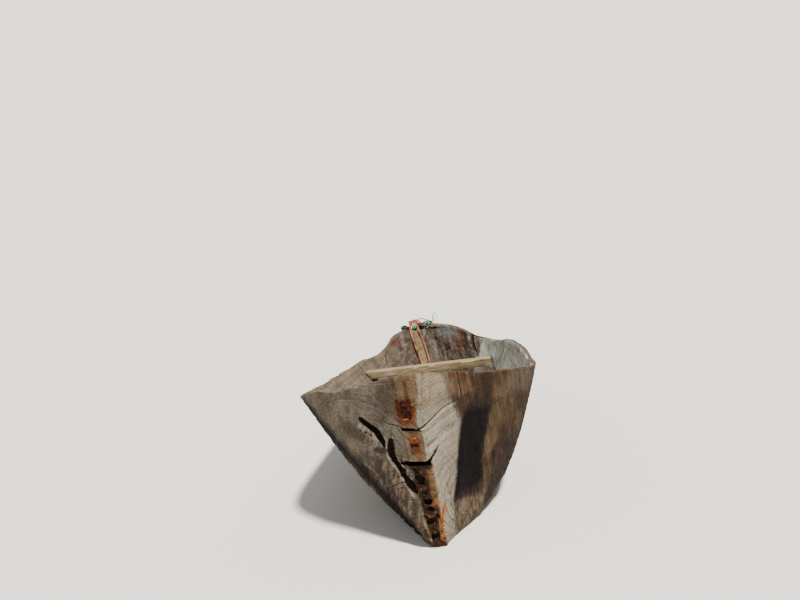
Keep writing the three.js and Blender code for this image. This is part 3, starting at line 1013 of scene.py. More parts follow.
# lines along which painted shade lies under the gaps in the stem's slot
UPPER_SLOT_SHADE_LINE = [(-0.024, 0.412), (0.01, 0.404)]
LOWER_SLOT_SHADE_LINE = [(-0.026, 0.291), (0.026, 0.286)]
TOP_STREAK = [(0.002, 0.515), (0.003, 0.565)]
BROWN_RUN = [(0.004, 0.35), (0.006, 0.31)]
PALE_RUN = [(-0.03, 0.2), (-0.024, 0.12), (-0.015, 0.03)]
RUST_RUN = [(0.061, 0.158), (0.050, 0.138), (0.041, 0.110), (0.033, 0.082), (0.027, 0.045)]
RUST_RUN_CORE = moved(RUST_RUN, -0.003, 0)
BOW_OLIVE_STRIP = [(-0.115, 0.58), (-0.075, 0.3)]
BOW_RUST = [(0.216, 0.55), (0.200, 0.38)]
BOW_PURPLE = [(0.255, 0.54), (0.245, 0.38)]
BOW_PALE_EDGE = [(0.281, 0.55), (0.281, 0.44), (0.288, 0.39)]

# Round patches on those faces, as place and radii
SHADED_TOP = ((-0.085, 0.5), (0.06, 0.09))
UNDER_GOUGE = ((-0.2, 0.385), (0.06, 0.05))
BROKEN_EDGE = ((-0.226, 0.247), (0.034, 0.022))
PANEL_STAIN = ((-0.122, 0.345), (0.027, 0.017))
UPPER_HALO = ((-0.012, 0.466), (0.038, 0.05))
LOWER_HALO = ((-0.003, 0.374), (0.023, 0.036))
UPPER_RUST = ((-0.012, 0.482), (0.028, 0.032))
BOW_BLUE = ((0.13, 0.53), (0.1, 0.06))
BOW_NOTCH = ((-0.287, 0.515), (0.05, 0.05))
# with the colour of each and how much of it shows
RIGHT_PATCHES = [
    (((0.385, 0.45), (0.07, 0.05)), PANEL_SHADE, 0.6),
    (((0.30, 0.44), (0.035, 0.018)), WORN_OLIVE, 0.6),
    (((0.265, 0.36), (0.028, 0.06)), WORN_OLIVE, 0.3),
    (((0.37, 0.375), (0.035, 0.04)), BROWN_DEEP, 0.8),
    (((0.24, 0.50), (0.045, 0.04)), BROWN_DEEP, 0.9),
    (((0.185, 0.55), (0.05, 0.012)), COLUMN_RUST, 0.45),
]

# Edges on the near face, each as heights and the places across at them
COLUMN_LEFT = [
    [0.3, 0.33, 0.38, 0.415, 0.445, 0.482, 0.537, 0.58],
    [-0.018, -0.028, -0.022, -0.026, -0.044, -0.044, -0.032, -0.038],
]
COLUMN_RIGHT = [
    [0.05, 0.1, 0.2, 0.3, 0.371, 0.405, 0.425, 0.456, 0.483, 0.525, 0.58],
    [0.03, 0.034, 0.028, 0.021, 0.025, 0.022, 0.0145, 0.018, 0.024, 0.033, 0.039],
]
PALE_RIGHT = [
    [0.04, 0.142, 0.274, 0.363, 0.402, 0.44, 0.48, 0.53, 0.58],
    [0.066, 0.082, 0.112, 0.133, 0.138, 0.131, 0.124, 0.114, 0.108],
]
TAR_LEFT = [
    [0.142, 0.274, 0.363, 0.402, 0.415, 0.448, 0.468],
    [0.082, 0.112, 0.133, 0.142, 0.160, 0.184, 0.201],
]
TAR_RIGHT = [
    [0.113, 0.183, 0.230, 0.286, 0.325, 0.363, 0.401, 0.446],
    [0.170, 0.182, 0.187, 0.205, 0.218, 0.235, 0.250, 0.261],
]
SECOND_DARK_LEFT = [
    [0.06, 0.08, 0.14, 0.18, 0.24, 0.253, 0.276, 0.297],
    [0.170, 0.176, 0.205, 0.214, 0.222, 0.234, 0.249, 0.256],
]
# heights, and how much of the worn strip right of the tar shows at them
WORN_STRIP = [[0.18, 0.23, 0.25, 0.29, 0.32, 0.4, 0.43], [0.15, 0.25, 0.85, 0.85, 0.45, 0.4, 0.0]]
# places across, and the height of the tar's foot at them
TAR_FOOT = [[0.08, 0.1, 0.13, 0.17], [0.142, 0.130, 0.121, 0.114]]

KNOT = np.array([-0.22, 0.411])
PITH_RIGHT = np.array([0.18, 0.14])
PITH_LEFT = np.array([-0.05, 0.10])
# turns points so that noise runs with the slanting grain of the left panel
GRAIN_SLANT = np.array([[0.94, 0, 0.34], [0, 1, 0], [-0.34, 0, 0.94]])


def stem_measures(points):
    """Distance from the nearer stem head, whether that is the bow, and whether left."""
    return HALF - np.abs(points[:, 1]), points[:, 1] > 0, points[:, 0] < 0


def is_inside(points):
    """1 on the surface of the hollow and 0 on the outside, with the rim between."""
    distance, bow, left = stem_measures(points)
    x, z = np.abs(points[:, 0]), points[:, 2]
    outer_gap = outer_half(distance, z, bow, left) - x
    inner_gap = x - inner_half(distance, z + 0.006, bow, left)
    low_gap = np.where(distance > STEM_FOOT, z, 1)
    outer_gap = np.minimum(outer_gap, low_gap)
    floor_z = sample(INNER, distance)[1]
    above_floor = ramp(z, floor_z - 0.014, floor_z - 0.008)
    hollow = ramp(distance, HOLLOW_START - 0.012, HOLLOW_START - 0.006)
    return ramp(outer_gap - inner_gap, -0.004, 0.004) * above_floor * hollow


def ring_field(points):
    """Distance from the pith of the log, which the growth rings follow, bent round the knot."""
    x, z = points[:, 0], points[:, 2]
    drift = 0.012 * fractal(points, (0.25, 1.2, 0.25), 5, 3)
    right = np.hypot(x - PITH_RIGHT[0], z - PITH_RIGHT[1])
    left = np.hypot(x - PITH_LEFT[0], (z - PITH_LEFT[1]) * 0.8)
    knot = np.hypot((x - KNOT[0]) * 0.8, z - KNOT[1])
    field = left + (right - left) * ramp(x, -0.03, 0.05)
    near = ramp(points[:, 1], -1.2, -1.5)
    knot_share = 0.7 * near * ramp(knot, 0.2, 0.05) * (x < 0.02)
    field = field + (knot * 1.1 - field) * knot_share
    pale_edge = np.interp(z, *PALE_RIGHT)
    beside = ramp(points[:, 1], -0.5, -0.9)
    beside = beside * ramp(x + 0.5 * drift, pale_edge - 0.004, pale_edge + 0.016)
    field = field + (x * 1.3 - field) * beside
    return field + drift


def line_gap(x, z, line):
    """How far points are from a broken line."""
    best = np.full(len(x), np.inf)
    for (x0, z0), (x1, z1) in zip(line, line[1:]):
        run, rise = x1 - x0, z1 - z0
        t = np.clip(((x - x0) * run + (z - z0) * rise) / (run**2 + rise**2), 0, 1)
        best = np.minimum(best, np.hypot(x - x0 - t * run, z - z0 - t * rise))
    return best


def along_line(x, z, line, outer, inner, ragged=0.0):
    """1 along a broken line and 0 away from it. ragged moves the edge between the two."""
    return ramp(line_gap(x, z, line) + ragged, outer, inner)


def in_patch(x, z, patch, outer, inner, ragged=0.0):
    """1 in a round patch and 0 away from it, its edges given as shares of its radii."""
    place, radii = patch
    gap = np.hypot((x - place[0]) / radii[0], (z - place[1]) / radii[1])
    return ramp(gap + ragged, outer, inner)


def layered(tone, *layers):
    """A tone with colours laid over it in turn, each by its share at each point."""
    for colour, share in layers:
        tone = blend(tone, colour, share)
    return tone


class HullPoints:
    """Points of the hull, with the measures and the noise that their tones follow."""

    def __init__(self, points):
        self.points = points
        self.x, self.y, self.z = points.T
        self.distance, self.bow, left_side = stem_measures(points)
        self.rim_gap = rim_height(self.distance, self.bow, left_side) - self.z
        self.near = ramp(self.y, -0.7, -1.2)
        self.wander = fractal(points, (0.05, 0.4, 0.06), 11, 4)
        self.streaks = fractal(points, (0.014, 0.014, 0.2), 12, 3)
        self.broad = fractal(points, (0.25, 0.7, 0.2), 13, 3)
        self.runs = fractal(points, (0.007, 0.02, 0.3), 17, 3)
        # how far the edges of the tar and of the pale strip stray
        self.stray = 0.006 * self.wander + 0.004 * self.streaks


def left_panel_tones(tone, wood):
    """The broad face left of the column: veins, torn fibres and the dark lower edge."""
    x, z, wander, near = wood.x, wood.z, wood.wander, wood.near
    left = near * ramp(x, -0.026, -0.046)
    slanted = wood.points @ GRAIN_SLANT
    veins = fractal(slanted, (0.008, 0.1, 0.09), 14, 3)
    dabs = fractal(slanted, (0.012, 0.05, 0.035), 18, 3)
    clouds = fractal(wood.points, (0.05, 0.2, 0.05), 15, 3)
    crumbs = fractal(wood.points, 0.007, 16, 2)
    low_gap = line_gap(x, z, LEFT_LOW_EDGE)
    torn = along_line(x, z, TORN_FIBRES, 0.017, 0.006, 0.008 * wander)
    left_lip = along_line(x, z, SPLIT_LEFT_LIP, 0.005, 0.001, 0.006 * wander)
    right_lip = along_line(x, z, SPLIT_RIGHT_LIP, 0.005, 0.001, 0.004 * wander)
    return layered(
        tone,
        (PANEL_GREY, left),
        (PANEL_TAN, left * ramp(x + 0.1 * wander, -0.2, -0.3)),
        (PANEL_SHADE, 0.85 * left * in_patch(x, z, SHADED_TOP, 1.2, 0.4, 0.5 * wander)),
        (PANEL_SHADE, 0.5 * left * ramp(clouds, 0.1, 0.6)),
        (PANEL_BROWN, 0.9 * left * ramp(z + 0.04 * wander, 0.37, 0.26)),
        (PANEL_BROWN, 0.45 * left * ramp(dabs, 0.15, 0.45)),
        (PALE_LOW, 0.25 * left * ramp(dabs, -0.15, -0.45)),
        (VEIN, 0.9 * left * ramp(veins, 0.1, 0.4) * ramp(z, 0.38, 0.3)),
        (PANEL_DARK, 0.7 * left * ramp(veins, -0.15, -0.5) * ramp(z, 0.4, 0.3)),
        (PANEL_BROWN, 0.75 * left * in_patch(x, z, UNDER_GOUGE, 1.5, 0.2, 0.6 * wander)),
        (PANEL_DARK, 0.6 * left * ramp(low_gap + 0.03 * wander, 0.07, 0.03)),
        (LOW_DARK, left * ramp(low_gap + 0.02 * wander, 0.04, 0.014)),
        (LOW_DARK, 0.75 * left * in_patch(x, z, BROKEN_EDGE, 1.2, 0.6, 0.5 * wander)),
        (VEIN, 0.8 * left * along_line(x, z, LOW_ARC, 0.007, 0.003, 0.006 * wander)),
        (FIBRE_WHITE, 0.85 * left * torn * ramp(crumbs, -0.2, 0.3)),
        (FIBRE_WHITE, 0.75 * left * left_lip),
        (FIBRE_WHITE, 0.5 * near * right_lip),
        (FIBRE_WHITE, 0.7 * left * along_line(x, z, BETWEEN_SPLITS, 0.006, 0.002)),
        (STAIN, 0.85 * left * in_patch(x, z, PANEL_STAIN, 1.1, 0.6, 0.5 * wander)),
    )


def right_panel_tones(tone, wood):
    """The browner side right of the column, streaked downwards."""
    x, z, wander, streaks = wood.x, wood.z, wood.wander, wood.streaks
    right = wood.near * ramp(x, 0.02, 0.03)
    tone = layered(
        tone,
        (WORN_BROWN, right),
        (BROWN_TOP, right * ramp(z + 0.04 * streaks, 0.42, 0.48)),
        (BROWN_DEEP, 0.75 * right * ramp(streaks + 0.6 * wander, -0.05, 0.45)),
        (BROWN_DEEP, 0.8 * right * ramp(wood.runs, 0.08, 0.35)),
        (WORN_OLIVE, 0.6 * right * ramp(wood.runs, -0.12, -0.4)),
    )
    for patch, colour, share in RIGHT_PATCHES:
        tone = blend(tone, colour, share * right * in_patch(x, z, patch, 1.2, 0.5, 0.5 * wander))
    return tone


def tar_tones(tone, wood):
    """The tar on the right side, the dark patch beside it and the worn wood round them."""
    x, z, near, stray, runs = wood.x, wood.z, wood.near, wood.stray, wood.runs
    right = near * ramp(x, 0.02, 0.03)
    height = z + 0.03 * wood.wander + 0.02 * wood.streaks
    streaked_z = z + 0.02 * wood.streaks
    left_edge, right_edge = np.interp(z, *TAR_LEFT), np.interp(z, *TAR_RIGHT)
    second_edge = np.interp(z, *SECOND_DARK_LEFT)
    foot = np.interp(x, *TAR_FOOT)
    worn = ramp(x, right_edge - 0.01, right_edge)
    worn *= ramp(x, second_edge + 0.008, second_edge - 0.004)
    second = ramp(x + stray, second_edge - 0.004, second_edge + 0.008) * ramp(height, 0.31, 0.25)
    low = right * ramp(streaked_z, foot + 0.012, foot - 0.012)
    low *= ramp(x, second_edge + 0.004, second_edge - 0.008)
    above = ramp(x, 0.126, 0.134) * ramp(x, 0.215, 0.19) * ramp(height, 0.485, 0.465)
    within = ramp(x + stray, left_edge - 0.006, left_edge + 0.008)
    within *= ramp(x + 2 * stray, right_edge + 0.012, right_edge - 0.012)
    within *= ramp(streaked_z, foot - 0.01, foot + 0.012)
    return layered(
        tone,
        (WORN_OLIVE, right * worn * np.interp(z, *WORN_STRIP)),
        (TAR_BROWN, right * second * (0.85 - 0.35 * ramp(runs, -0.1, -0.4))),
        (LOW_PALE, 0.9 * low),
        (WORN_BROWN, 0.75 * low * ramp(runs, -0.05, 0.25)),
        (RED_BROWN, 0.8 * right * above * ramp(z, 0.39, 0.41)),
        (TAR_BROWN, 0.9 * near * within * ramp(height, 0.5, 0.45)),
        (TAR, 0.95 * near * within * ramp(height, 0.455, 0.41) * ramp(streaked_z, 0.13, 0.17)),
    )


def pale_strip_tones(tone, wood):
    """The pale strip between the column and the tar, with the crack across it and a painted
    highlight on the crack's worn lower lip.
    """
    x, z, wander = wood.x, wood.z, wood.wander
    left_edge = np.interp(z, *COLUMN_RIGHT)
    right_edge = np.interp(z, *PALE_RIGHT) - wood.stray - 0.03 * wander * ramp(z, 0.44, 0.5)
    blur = 0.006 + 0.01 * ramp(z, 0.37, 0.42) + 0.01 * ramp(z, 0.44, 0.5)
    pale = wood.near * ramp(x + 0.002 * wander, left_edge - 0.002, left_edge + 0.003)
    pale *= ramp(x, right_edge + blur, right_edge - blur)
    return layered(
        tone,
        (PALE_LOW, pale * ramp(z, 0.53, 0.44)),
        (PALE_TOP, pale * ramp(z, 0.44, 0.53)),
        (WORN_OLIVE, 0.45 * pale * ramp(wood.streaks + 0.5 * wander, 0.15, 0.6)),
        # the crack's worn lower lip, brightened as a painted highlight
        (FIBRE_WHITE, 0.8 * pale * along_line(x, z, WORN_CRACK_LIP_HIGHLIGHT, 0.005, 0.002)),
    )


def column_tones(tone, wood):
    """The brown column of the stem and its blocks, stained by the rusting spikes."""
    x, z, wander, streaks = wood.x, wood.z, wood.wander, wood.streaks
    left_edge, right_edge = np.interp(z, *COLUMN_LEFT), np.interp(z, *COLUMN_RIGHT)
    beside = wood.near * ramp(x + 0.01 * wander, -0.078, -0.058)
    beside = beside * ramp(x, -0.02, -0.03) * ramp(z, 0.45, 0.48)
    column = wood.near * ramp(x + 0.006 * wander, left_edge - 0.008, left_edge + 0.01)
    within = ramp(x + 0.002 * wander, right_edge + 0.003, right_edge - 0.002)
    column *= within * ramp(z, 0.285, 0.31)
    shade_below_slot = along_line(x, z, UPPER_SLOT_SHADE_LINE, 0.009, 0.002, 0.003 * wander)
    top_streak = along_line(x, z, TOP_STREAK, 0.007, 0.002, 0.003 * streaks)
    return layered(
        tone,
        (COLUMN_BROWN, 0.5 * beside),
        (COLUMN_BROWN, column),
        (PANEL_GREY, 0.55 * column * ramp(streaks, 0.1, 0.5) * ramp(z, 0.5, 0.42)),
        (COLUMN_RUST, 0.85 * column * in_patch(x, z, UPPER_HALO, 1.15, 0.45, 0.35 * wander)),
        (COLUMN_RUST, 0.85 * column * in_patch(x, z, LOWER_HALO, 1.15, 0.45, 0.35 * wander)),
        (RUST_RED, 0.8 * column * in_patch(x, z, UPPER_RUST, 1.2, 0.7, 0.3 * wander)),
        # painted shade under the gap between the blocks
        (STAIN, 0.6 * column * shade_below_slot * (z < 0.416)),
        (COLUMN_STREAK, 0.8 * column * top_streak),
        (COLUMN_RUST, 0.5 * column * along_line(x, z, BROWN_RUN, 0.012, 0.004)),
    )


def foot_tones(tone, wood):
    """The rotten foot of the near stem, with a pale run and a rusty run beside it."""
    x, z, wander, near = wood.x, wood.z, wood.wander, wood.near
    foot = near * ramp(np.abs(x - 0.003 + 0.006 * wander), 0.036, 0.026) * ramp(z, 0.31, 0.285)
    right_side = ramp(x + 0.008 * wander, 0.011, 0.018)
    lumps = fractal(wood.points, (0.012, 0.03, 0.008), 21, 3)
    rust_run = along_line(x, z, RUST_RUN, 0.012, 0.006, 0.003 * wander)
    return layered(
        tone,
        (ROT_BROWN, foot),
        (OCHRE, 0.85 * foot * right_side * ramp(z, 0.13, 0.17)),
        (ORANGE_RUST, 0.85 * foot * ramp(lumps, 0.05, 0.4) * ramp(z, 0.2, 0.13)),
        (OCHRE, 0.7 * foot * ramp(lumps, -0.25, -0.55)),
        # painted shade under the bottom of the recess, below the lower block
        (LOW_DARK, 0.8 * near * along_line(x, z, LOWER_SLOT_SHADE_LINE, 0.015, 0.005, 0.004 * wander)),
        (VEIN, 0.8 * near * along_line(x, z, PALE_RUN, 0.008, 0.003, 0.003 * wander)),
        (ORANGE_PALE, 0.9 * near * rust_run * ramp(z, 0.165, 0.13)),
        (COLUMN_RUST, 0.8 * near * along_line(x, z, RUST_RUN_CORE, 0.005, 0.001)),
    )


def bow_face_tones(tone, wood):
    """The rough inner face of the bow, and the brown wood beyond the seam where it ends."""
    x, z, wander = wood.x, wood.z, wood.wander
    mottled = fractal(wood.points, (0.016, 0.04, 0.03), 31, 4)
    seam = np.where(x > 0, 0.415 + 0.55 * (0.47 - z), 0.5 + 0.35 * (0.43 - z))
    rough = ramp(wood.distance + 0.02 * wander, seam + 0.012, seam - 0.012)
    far = np.where(wood.bow, rough, 0)
    rust = along_line(x, z, BOW_RUST, 0.026, 0.012, 0.006 * wander)
    past_seam = wood.distance + 0.01 * wander - seam
    beyond = np.where(wood.bow & (x > 0), ramp(past_seam, 0.0, 0.012), 0) * ramp(z, 0.3, 0.34)
    brown = ramp(past_seam, 0.085, 0.06)
    olive = beyond * ramp(past_seam, 0.08, 0.095) * ramp(past_seam, 0.125, 0.105)
    olive = olive * ramp(z, 0.39, 0.42)
    notch = np.where(wood.bow, in_patch(x, z, BOW_NOTCH, 1.1, 0.6, 0.4 * wander), 0)
    return layered(
        tone,
        (ROUGH_DARK, far),
        (ROUGH_GREY, 0.75 * far * ramp(mottled, 0.05, 0.45)),
        (LOW_DARK, 0.75 * far * ramp(mottled, -0.1, -0.5)),
        (ROUGH_BLUE, 0.85 * far * in_patch(x, z, BOW_BLUE, 1.2, 0.5, 0.5 * wander)),
        (OLIVE_TAN, 0.8 * far * along_line(x, z, BOW_OLIVE_STRIP, 0.034, 0.018, 0.01 * wander)),
        (ORANGE_RUST, 0.5 * far * rust * ramp(mottled, -0.5, 0.0)),
        (STAIN, 0.6 * far * along_line(x, z, BOW_PURPLE, 0.028, 0.014, 0.006 * wander)),
        (FIBRE_WHITE, 0.8 * far * along_line(x, z, BOW_PALE_EDGE, 0.006, 0.003)),
        (ROUGH_DARK, 0.85 * beyond * brown),
        (COLUMN_RUST, 0.7 * beyond * brown * ramp(mottled, -0.25, 0.2)),
        (LOW_DARK, 0.5 * beyond * brown * ramp(mottled, -0.1, -0.4)),
        (GREY_BROWN, 0.7 * olive),
        (GREY_BROWN, 0.45 * ramp(x, -0.2, -0.3) * ramp(wood.y, 0.9, 1.3)),
        (COLUMN_RUST, 0.8 * notch * ramp(mottled, -0.3, 0.2)),
    )


def hollow_tones(wood):
    """The inside: pale and banded, with painted light on its right side and painted shade low on
    that side, browner low down and at the near end.
    """
    x, z, wander = wood.x, wood.z, wood.wander
    bands = fractal(wood.points, (0.05, 0.02, 0.4), 32, 3)
    tone = layered(
        # the right side's pale grey carries painted light
        np.tile(INNER_GREY_PAINTED_LIGHT, (len(x), 1)),
        (INNER_WARM, ramp(x, 0.1, -0.1)),
        (GREY_BROWN, 0.45 * ramp(wood.broad + bands, -0.1, 0.9)),
        (FIBRE_WHITE, 0.3 * ramp(bands, 0.1, 0.5)),
        (DARK_BROWN, 0.6 * ramp(z + 0.03 * wander, 0.14, 0.06)),
        # painted shade low on the hollow's right side, below the board's height
        (WORN_OLIVE, 0.75 * ramp(x, 0.1, 0.2) * ramp(z + 0.02 * wander, 0.31, 0.27)),
        (WORN_BROWN, 0.5 * ramp(wood.y, -1.3, -1.75)),
    )
    return bow_face_tones(tone, wood)


def hull_tones(points):
    """The broad colour of each point of the hull."""
    wood = HullPoints(points)
    tone = layered(
        np.tile(GREY_BROWN, (len(points), 1)),
        (GREY, ramp(wood.broad, -0.5, 0.5)),
        (WORN_BROWN, 0.6 * ramp(wood.streaks + wood.broad, 0.1, 0.8)),
        (DARK_BROWN, 0.75 * ramp(wood.z + 0.05 * wood.wander, 0.2, 0.02)),
    )
    for part_tones in (left_panel_tones, right_panel_tones, tar_tones, pale_strip_tones):
        tone = part_tones(tone, wood)
    tone = foot_tones(column_tones(tone, wood), wood)
    inside = is_inside(points)
    rim = ramp(wood.rim_gap + 0.004 * wood.wander, 0.010, 0.003)
    # painted shade on the sunlit inner face just under the right rim
    inner_right_painted_shade = 0.4 * inside * ramp(wood.x, 0.28, 0.36) * ramp(wood.rim_gap, 0.05, 0.02)
    return layered(
        tone,
        (hollow_tones(wood), inside),
        (ROUGH_GREY, inner_right_painted_shade),
        (EDGE_TAN, 0.75 * rim),
        # painted shade on the right part of the rim, where its top faces the light
        (GREY_BROWN, 0.55 * rim * ramp(wood.x, 0.25, 0.35)),
    )


# How deep each kind of wear goes into the wood
HEWN_DEPTH = 0.002
GROOVE_DEPTH = 0.0025
TOOL_MARK_DEPTH = 0.004
BOW_FACE_DEPTH = 0.012
ROT_DEPTH = 0.02
LOWER_EDGE_DEPTH = 0.012
RIDGE_DEPTH = 0.004
RUN_DEPTH = 0.0022
KNOT_DEPTH = 0.005
RIM_WEAR_DEPTH = 0.006
RIM_CHIP_DEPTH = 0.006
RIM_WEAR_REACH = 0.07


def relief(points):
    """How far weather and tools have taken the surface in, in metres."""
    x, y, z = points.T
    distance, bow, _ = stem_measures(points)
    inside = is_inside(points)
    near = ramp(y, -0.9, -1.3) * (1 - inside)
    hewn = 0.5 + 0.5 * fractal(points, (0.12, 0.3, 0.12), 41, 3)
    depth = HEWN_DEPTH * hewn
    grooves = np.abs(fractal(points, (0.02, 0.35, 0.02), 42, 3))
    depth += GROOVE_DEPTH * ramp(grooves, 0.12, 0.0)
    # tool marks inside
    marks = 1 - np.abs(noise(points, (0.05, 0.09, 0.05), 43))
    depth += TOOL_MARK_DEPTH * marks * inside
    # rough inner face of the bow
    far = inside * bow * ramp(distance, 0.6, 0.45)
    depth += far * BOW_FACE_DEPTH * ramp(fractal(points, (0.022, 0.03, 0.06), 44, 4), -0.6, 0.7)
    # rot at the foot of the near stem
    foot = near * ramp(np.abs(x), 0.045, 0.02) * ramp(z, 0.31, 0.27)
    depth += foot * ROT_DEPTH * ramp(fractal(points, (0.025, 0.05, 0.022), 45, 4), -0.3, 0.6)
    # ragged lower edge amidships and at the near left
    lower = (1 - inside) * ramp(z, 0.14, 0.02) * ramp(distance, 0.3, 0.5)
    ragged = fractal(points, (0.06, 0.12, 0.05), 46, 4)
    depth += lower * LOWER_EDGE_DEPTH * ramp(ragged, -0.2, 0.7)
    # slanting ridges low on the left panel and grooves down the right side
    ridges = fractal(points @ GRAIN_SLANT, (0.009, 0.1, 0.09), 14, 3)
    depth += near * (x < -0.03) * ramp(z, 0.42, 0.3) * RIDGE_DEPTH * ramp(ridges, 0.2, -0.4)
    down = fractal(points, (0.008, 0.03, 0.22), 47, 3)
    depth += near * (x > 0.12) * RUN_DEPTH * ramp(down, 0.2, -0.4)
    # knot
    knot = np.hypot((x - KNOT[0]) * 0.85, z - KNOT[1])
    depth += near * (x < 0) * KNOT_DEPTH * ramp(knot, 0.06, 0.0)
    return depth


def rim_wear(points):
    """How far the rim is worn down at each point."""
    distance = stem_measures(points)[0]
    flat = points * [1, 1, 0]
    wear = RIM_WEAR_DEPTH * ramp(fractal(flat, (0.25, 0.22, 1), 51, 3), 0.0, 0.8)
    chips = RIM_CHIP_DEPTH * ramp(fractal(flat, (0.04, 0.05, 1), 52, 2), 0.35, 0.75)
    return (wear + chips) * ramp(distance, 0.03, 0.15)


# Hull
# how far from a stem head its end faces are looked for, and in what steps their slope is taken
END_REACH = 1.2
FACE_STEP = 0.004
# points round a split's cutter, its step along the split and how far it stands out
SPLIT_SIDES = 16
SPLIT_STEP = 0.006
SPLIT_OUTWARD = 0.03
SPLIT_UNEVENNESS_SIZE = 0.011
POCKET_UNEVENNESS = 0.38
SLAB_EDGE_DEPTH = 0.0025


def cutter_from_prism(name, outline, low_x, high_x):
    """A prism across the hull from an outline of y, z points."""
    bpy.ops.mesh.primitive_circle_add(vertices=len(outline), fill_type="NGON")
    piece = named(name)
    write_points(piece, np.array([[low_x, y, z] for y, z in outline]))
    in_edit(
        piece,
        lambda: bpy.ops.mesh.extrude_region_move(
            TRANSFORM_OT_translate={"value": (high_x - low_x, 0, 0)}
        ),
    )
    outward(piece)
    return piece


def stem_face_y(z):
    """Where the raked stem face stands at a height, taken as straight."""
    return -HALF + STEM_FOOT * (1 - z / STEM_HEAD_HEIGHT)


def recess_cutter():
    """The slot in the near stem that the blocks are let into."""
    low, high = RECESS_BOTTOM, STEM_TOP
    outline = [
        (stem_face_y(low) - RECESS_FRONT, low),
        (stem_face_y(low) + RECESS_DEPTH, low),
        (stem_face_y(high) + RECESS_DEPTH, high),
        (stem_face_y(high) - RECESS_FRONT, high),
    ]
    piece = cutter_from_prism("recess_cutter", outline, -RECESS_HALF, RECESS_HALF)
    points = read_points(piece)
    points[:, 2] -= RECESS_LEAN * points[:, 0]
    write_points(piece, points)
    return piece


def narrowed(is_wide, low, high):
    """Where along the hull a side becomes wide enough, from just before and just after."""
    for _ in range(40):
        middle = (low + high) / 2
        wide = is_wide(middle)
        low, high = np.where(wide, low, middle), np.where(wide, middle, high)
    return low, high


def near_face_y(x, z):
    """Where the near end's outside lies, seen from ahead at x, z."""
    x, z = np.asarray(x, float), np.asarray(z, float)

    def is_wide(distance):
        above_keel = z >= outer_section(distance, x < 0)[1]
        return above_keel & (outer_half(distance, z, False, x < 0) >= np.abs(x))

    before, _ = narrowed(is_wide, np.zeros(x.shape), np.full(x.shape, END_REACH))
    return before - HALF


def bow_face_y(x, z):
    """Where the hollow's bow end lies, seen from ahead at x, z."""
    x, z = np.asarray(x, float), np.asarray(z, float)

    def is_wide(distance):
        return inner_half(distance, z, True, x < 0) >= np.abs(x)

    start = np.full(x.shape, HOLLOW_START)
    _, after = narrowed(is_wide, start, np.full(x.shape, END_REACH))
    return HALF - after


def slopes(face_y, x, z, step):
    """How far a face's y moves for each metre across and up."""
    across = (face_y(x + step, z) - face_y(x - step, z)) / (2 * step)
    up = (face_y(x, z + step) - face_y(x, z - step)) / (2 * step)
    return across, up


def face_out(face_y, x, z):
    """The direction out of a face at x, z."""
    across, up = slopes(face_y, x, z, FACE_STEP)
    out = np.stack([across, -np.ones_like(across), up], -1)
    return out / np.linalg.norm(out, axis=-1, keepdims=True)


def split_cutter(name, face_y, line, depth, ragged, seed):
    """A split in a face along points of x, z and half width, its edges ragged."""
    path = smooth_path(line, SPLIT_STEP)
    across = np.gradient(path[:, :2], axis=0)
    across = np.stack([-across[:, 1], across[:, 0]], -1)
    across /= np.linalg.norm(across, axis=1, keepdims=True)
    rings = []
    for k, (x, z, half) in enumerate(path):
        inward = depth * min(1, 0.35 + half / 0.008)
        ring = []
        for angle in np.linspace(0, 2 * np.pi, SPLIT_SIDES, endpoint=False):
            c, s = math.cos(angle), math.sin(angle)
            place = np.array([[x, z, 2 * np.sign(c) + 0.3 * s]])
            uneven = 1 + ragged * noise(place, SPLIT_UNEVENNESS_SIZE, seed)[0]
            reach = half * uneven * math.copysign(abs(c) ** 0.7, c)
            ring.append([x + across[k, 0] * reach, z + across[k, 1] * reach, s, inward])
        rings.append(ring)
    x, z, s, inward = np.moveaxis(np.array(rings), -1, 0)
    away = np.where(s > 0, SPLIT_OUTWARD * s, inward * s)
    points = np.stack([x, face_y(x, z), z], -1) + face_out(face_y, x, z) * away[..., None]
    return swept(name, points)


def pocket_cutter(name, place, radii, seed):
    """An uneven rounded hole."""
    bpy.ops.mesh.primitive_ico_sphere_add(subdivisions=4, radius=1)
    piece = named(name)
    points = read_points(piece)
    uneven = 1 + POCKET_UNEVENNESS * fractal(points, 0.7, seed, 3)
    write_points(piece, points * uneven[:, None] * radii + place)
    return piece


def rope_hole_cutter():
    """The round hole low in the bow that the lashing goes through."""
    bpy.ops.mesh.primitive_cylinder_add(
        vertices=24,
        radius=ROPE_HOLE_RADIUS,
        depth=ROPE_HOLE_LENGTH,
        location=(ROPE_HOLE_X, HALF - ROPE_HOLE_LENGTH / 2, ROPE_HOLE_HEIGHT),
        rotation=(math.pi / 2, 0, 0),
    )
    piece = named("rope_hole_cutter")
    apply_place(piece)
    return piece


def hull_cutters():
    """All that is cut out of the log. The near splits go through the blocks too."""
    cutters = [recess_cutter(), rope_hole_cutter()]
    for k, split in enumerate(BOW_SPLITS):
        cutters.append(split_cutter(f"bow_split_{k}", bow_face_y, *split, 65 + k))
    for k, split in enumerate(NEAR_SPLITS):
        cutters.append(split_cutter(f"near_split_{k}", near_face_y, *split, 70 + k))
    for k, (x, distance, z, *radii) in enumerate(NEAR_POCKETS):
        cutters.append(pocket_cutter(f"near_pocket_{k}", (x, distance - HALF, z), radii, 80 + k))
    for k, (x, distance, z, *radii) in enumerate(BOW_POCKETS):
        cutters.append(pocket_cutter(f"bow_pocket_{k}", (x, HALF - distance, z), radii, 90 + k))
    return cutters


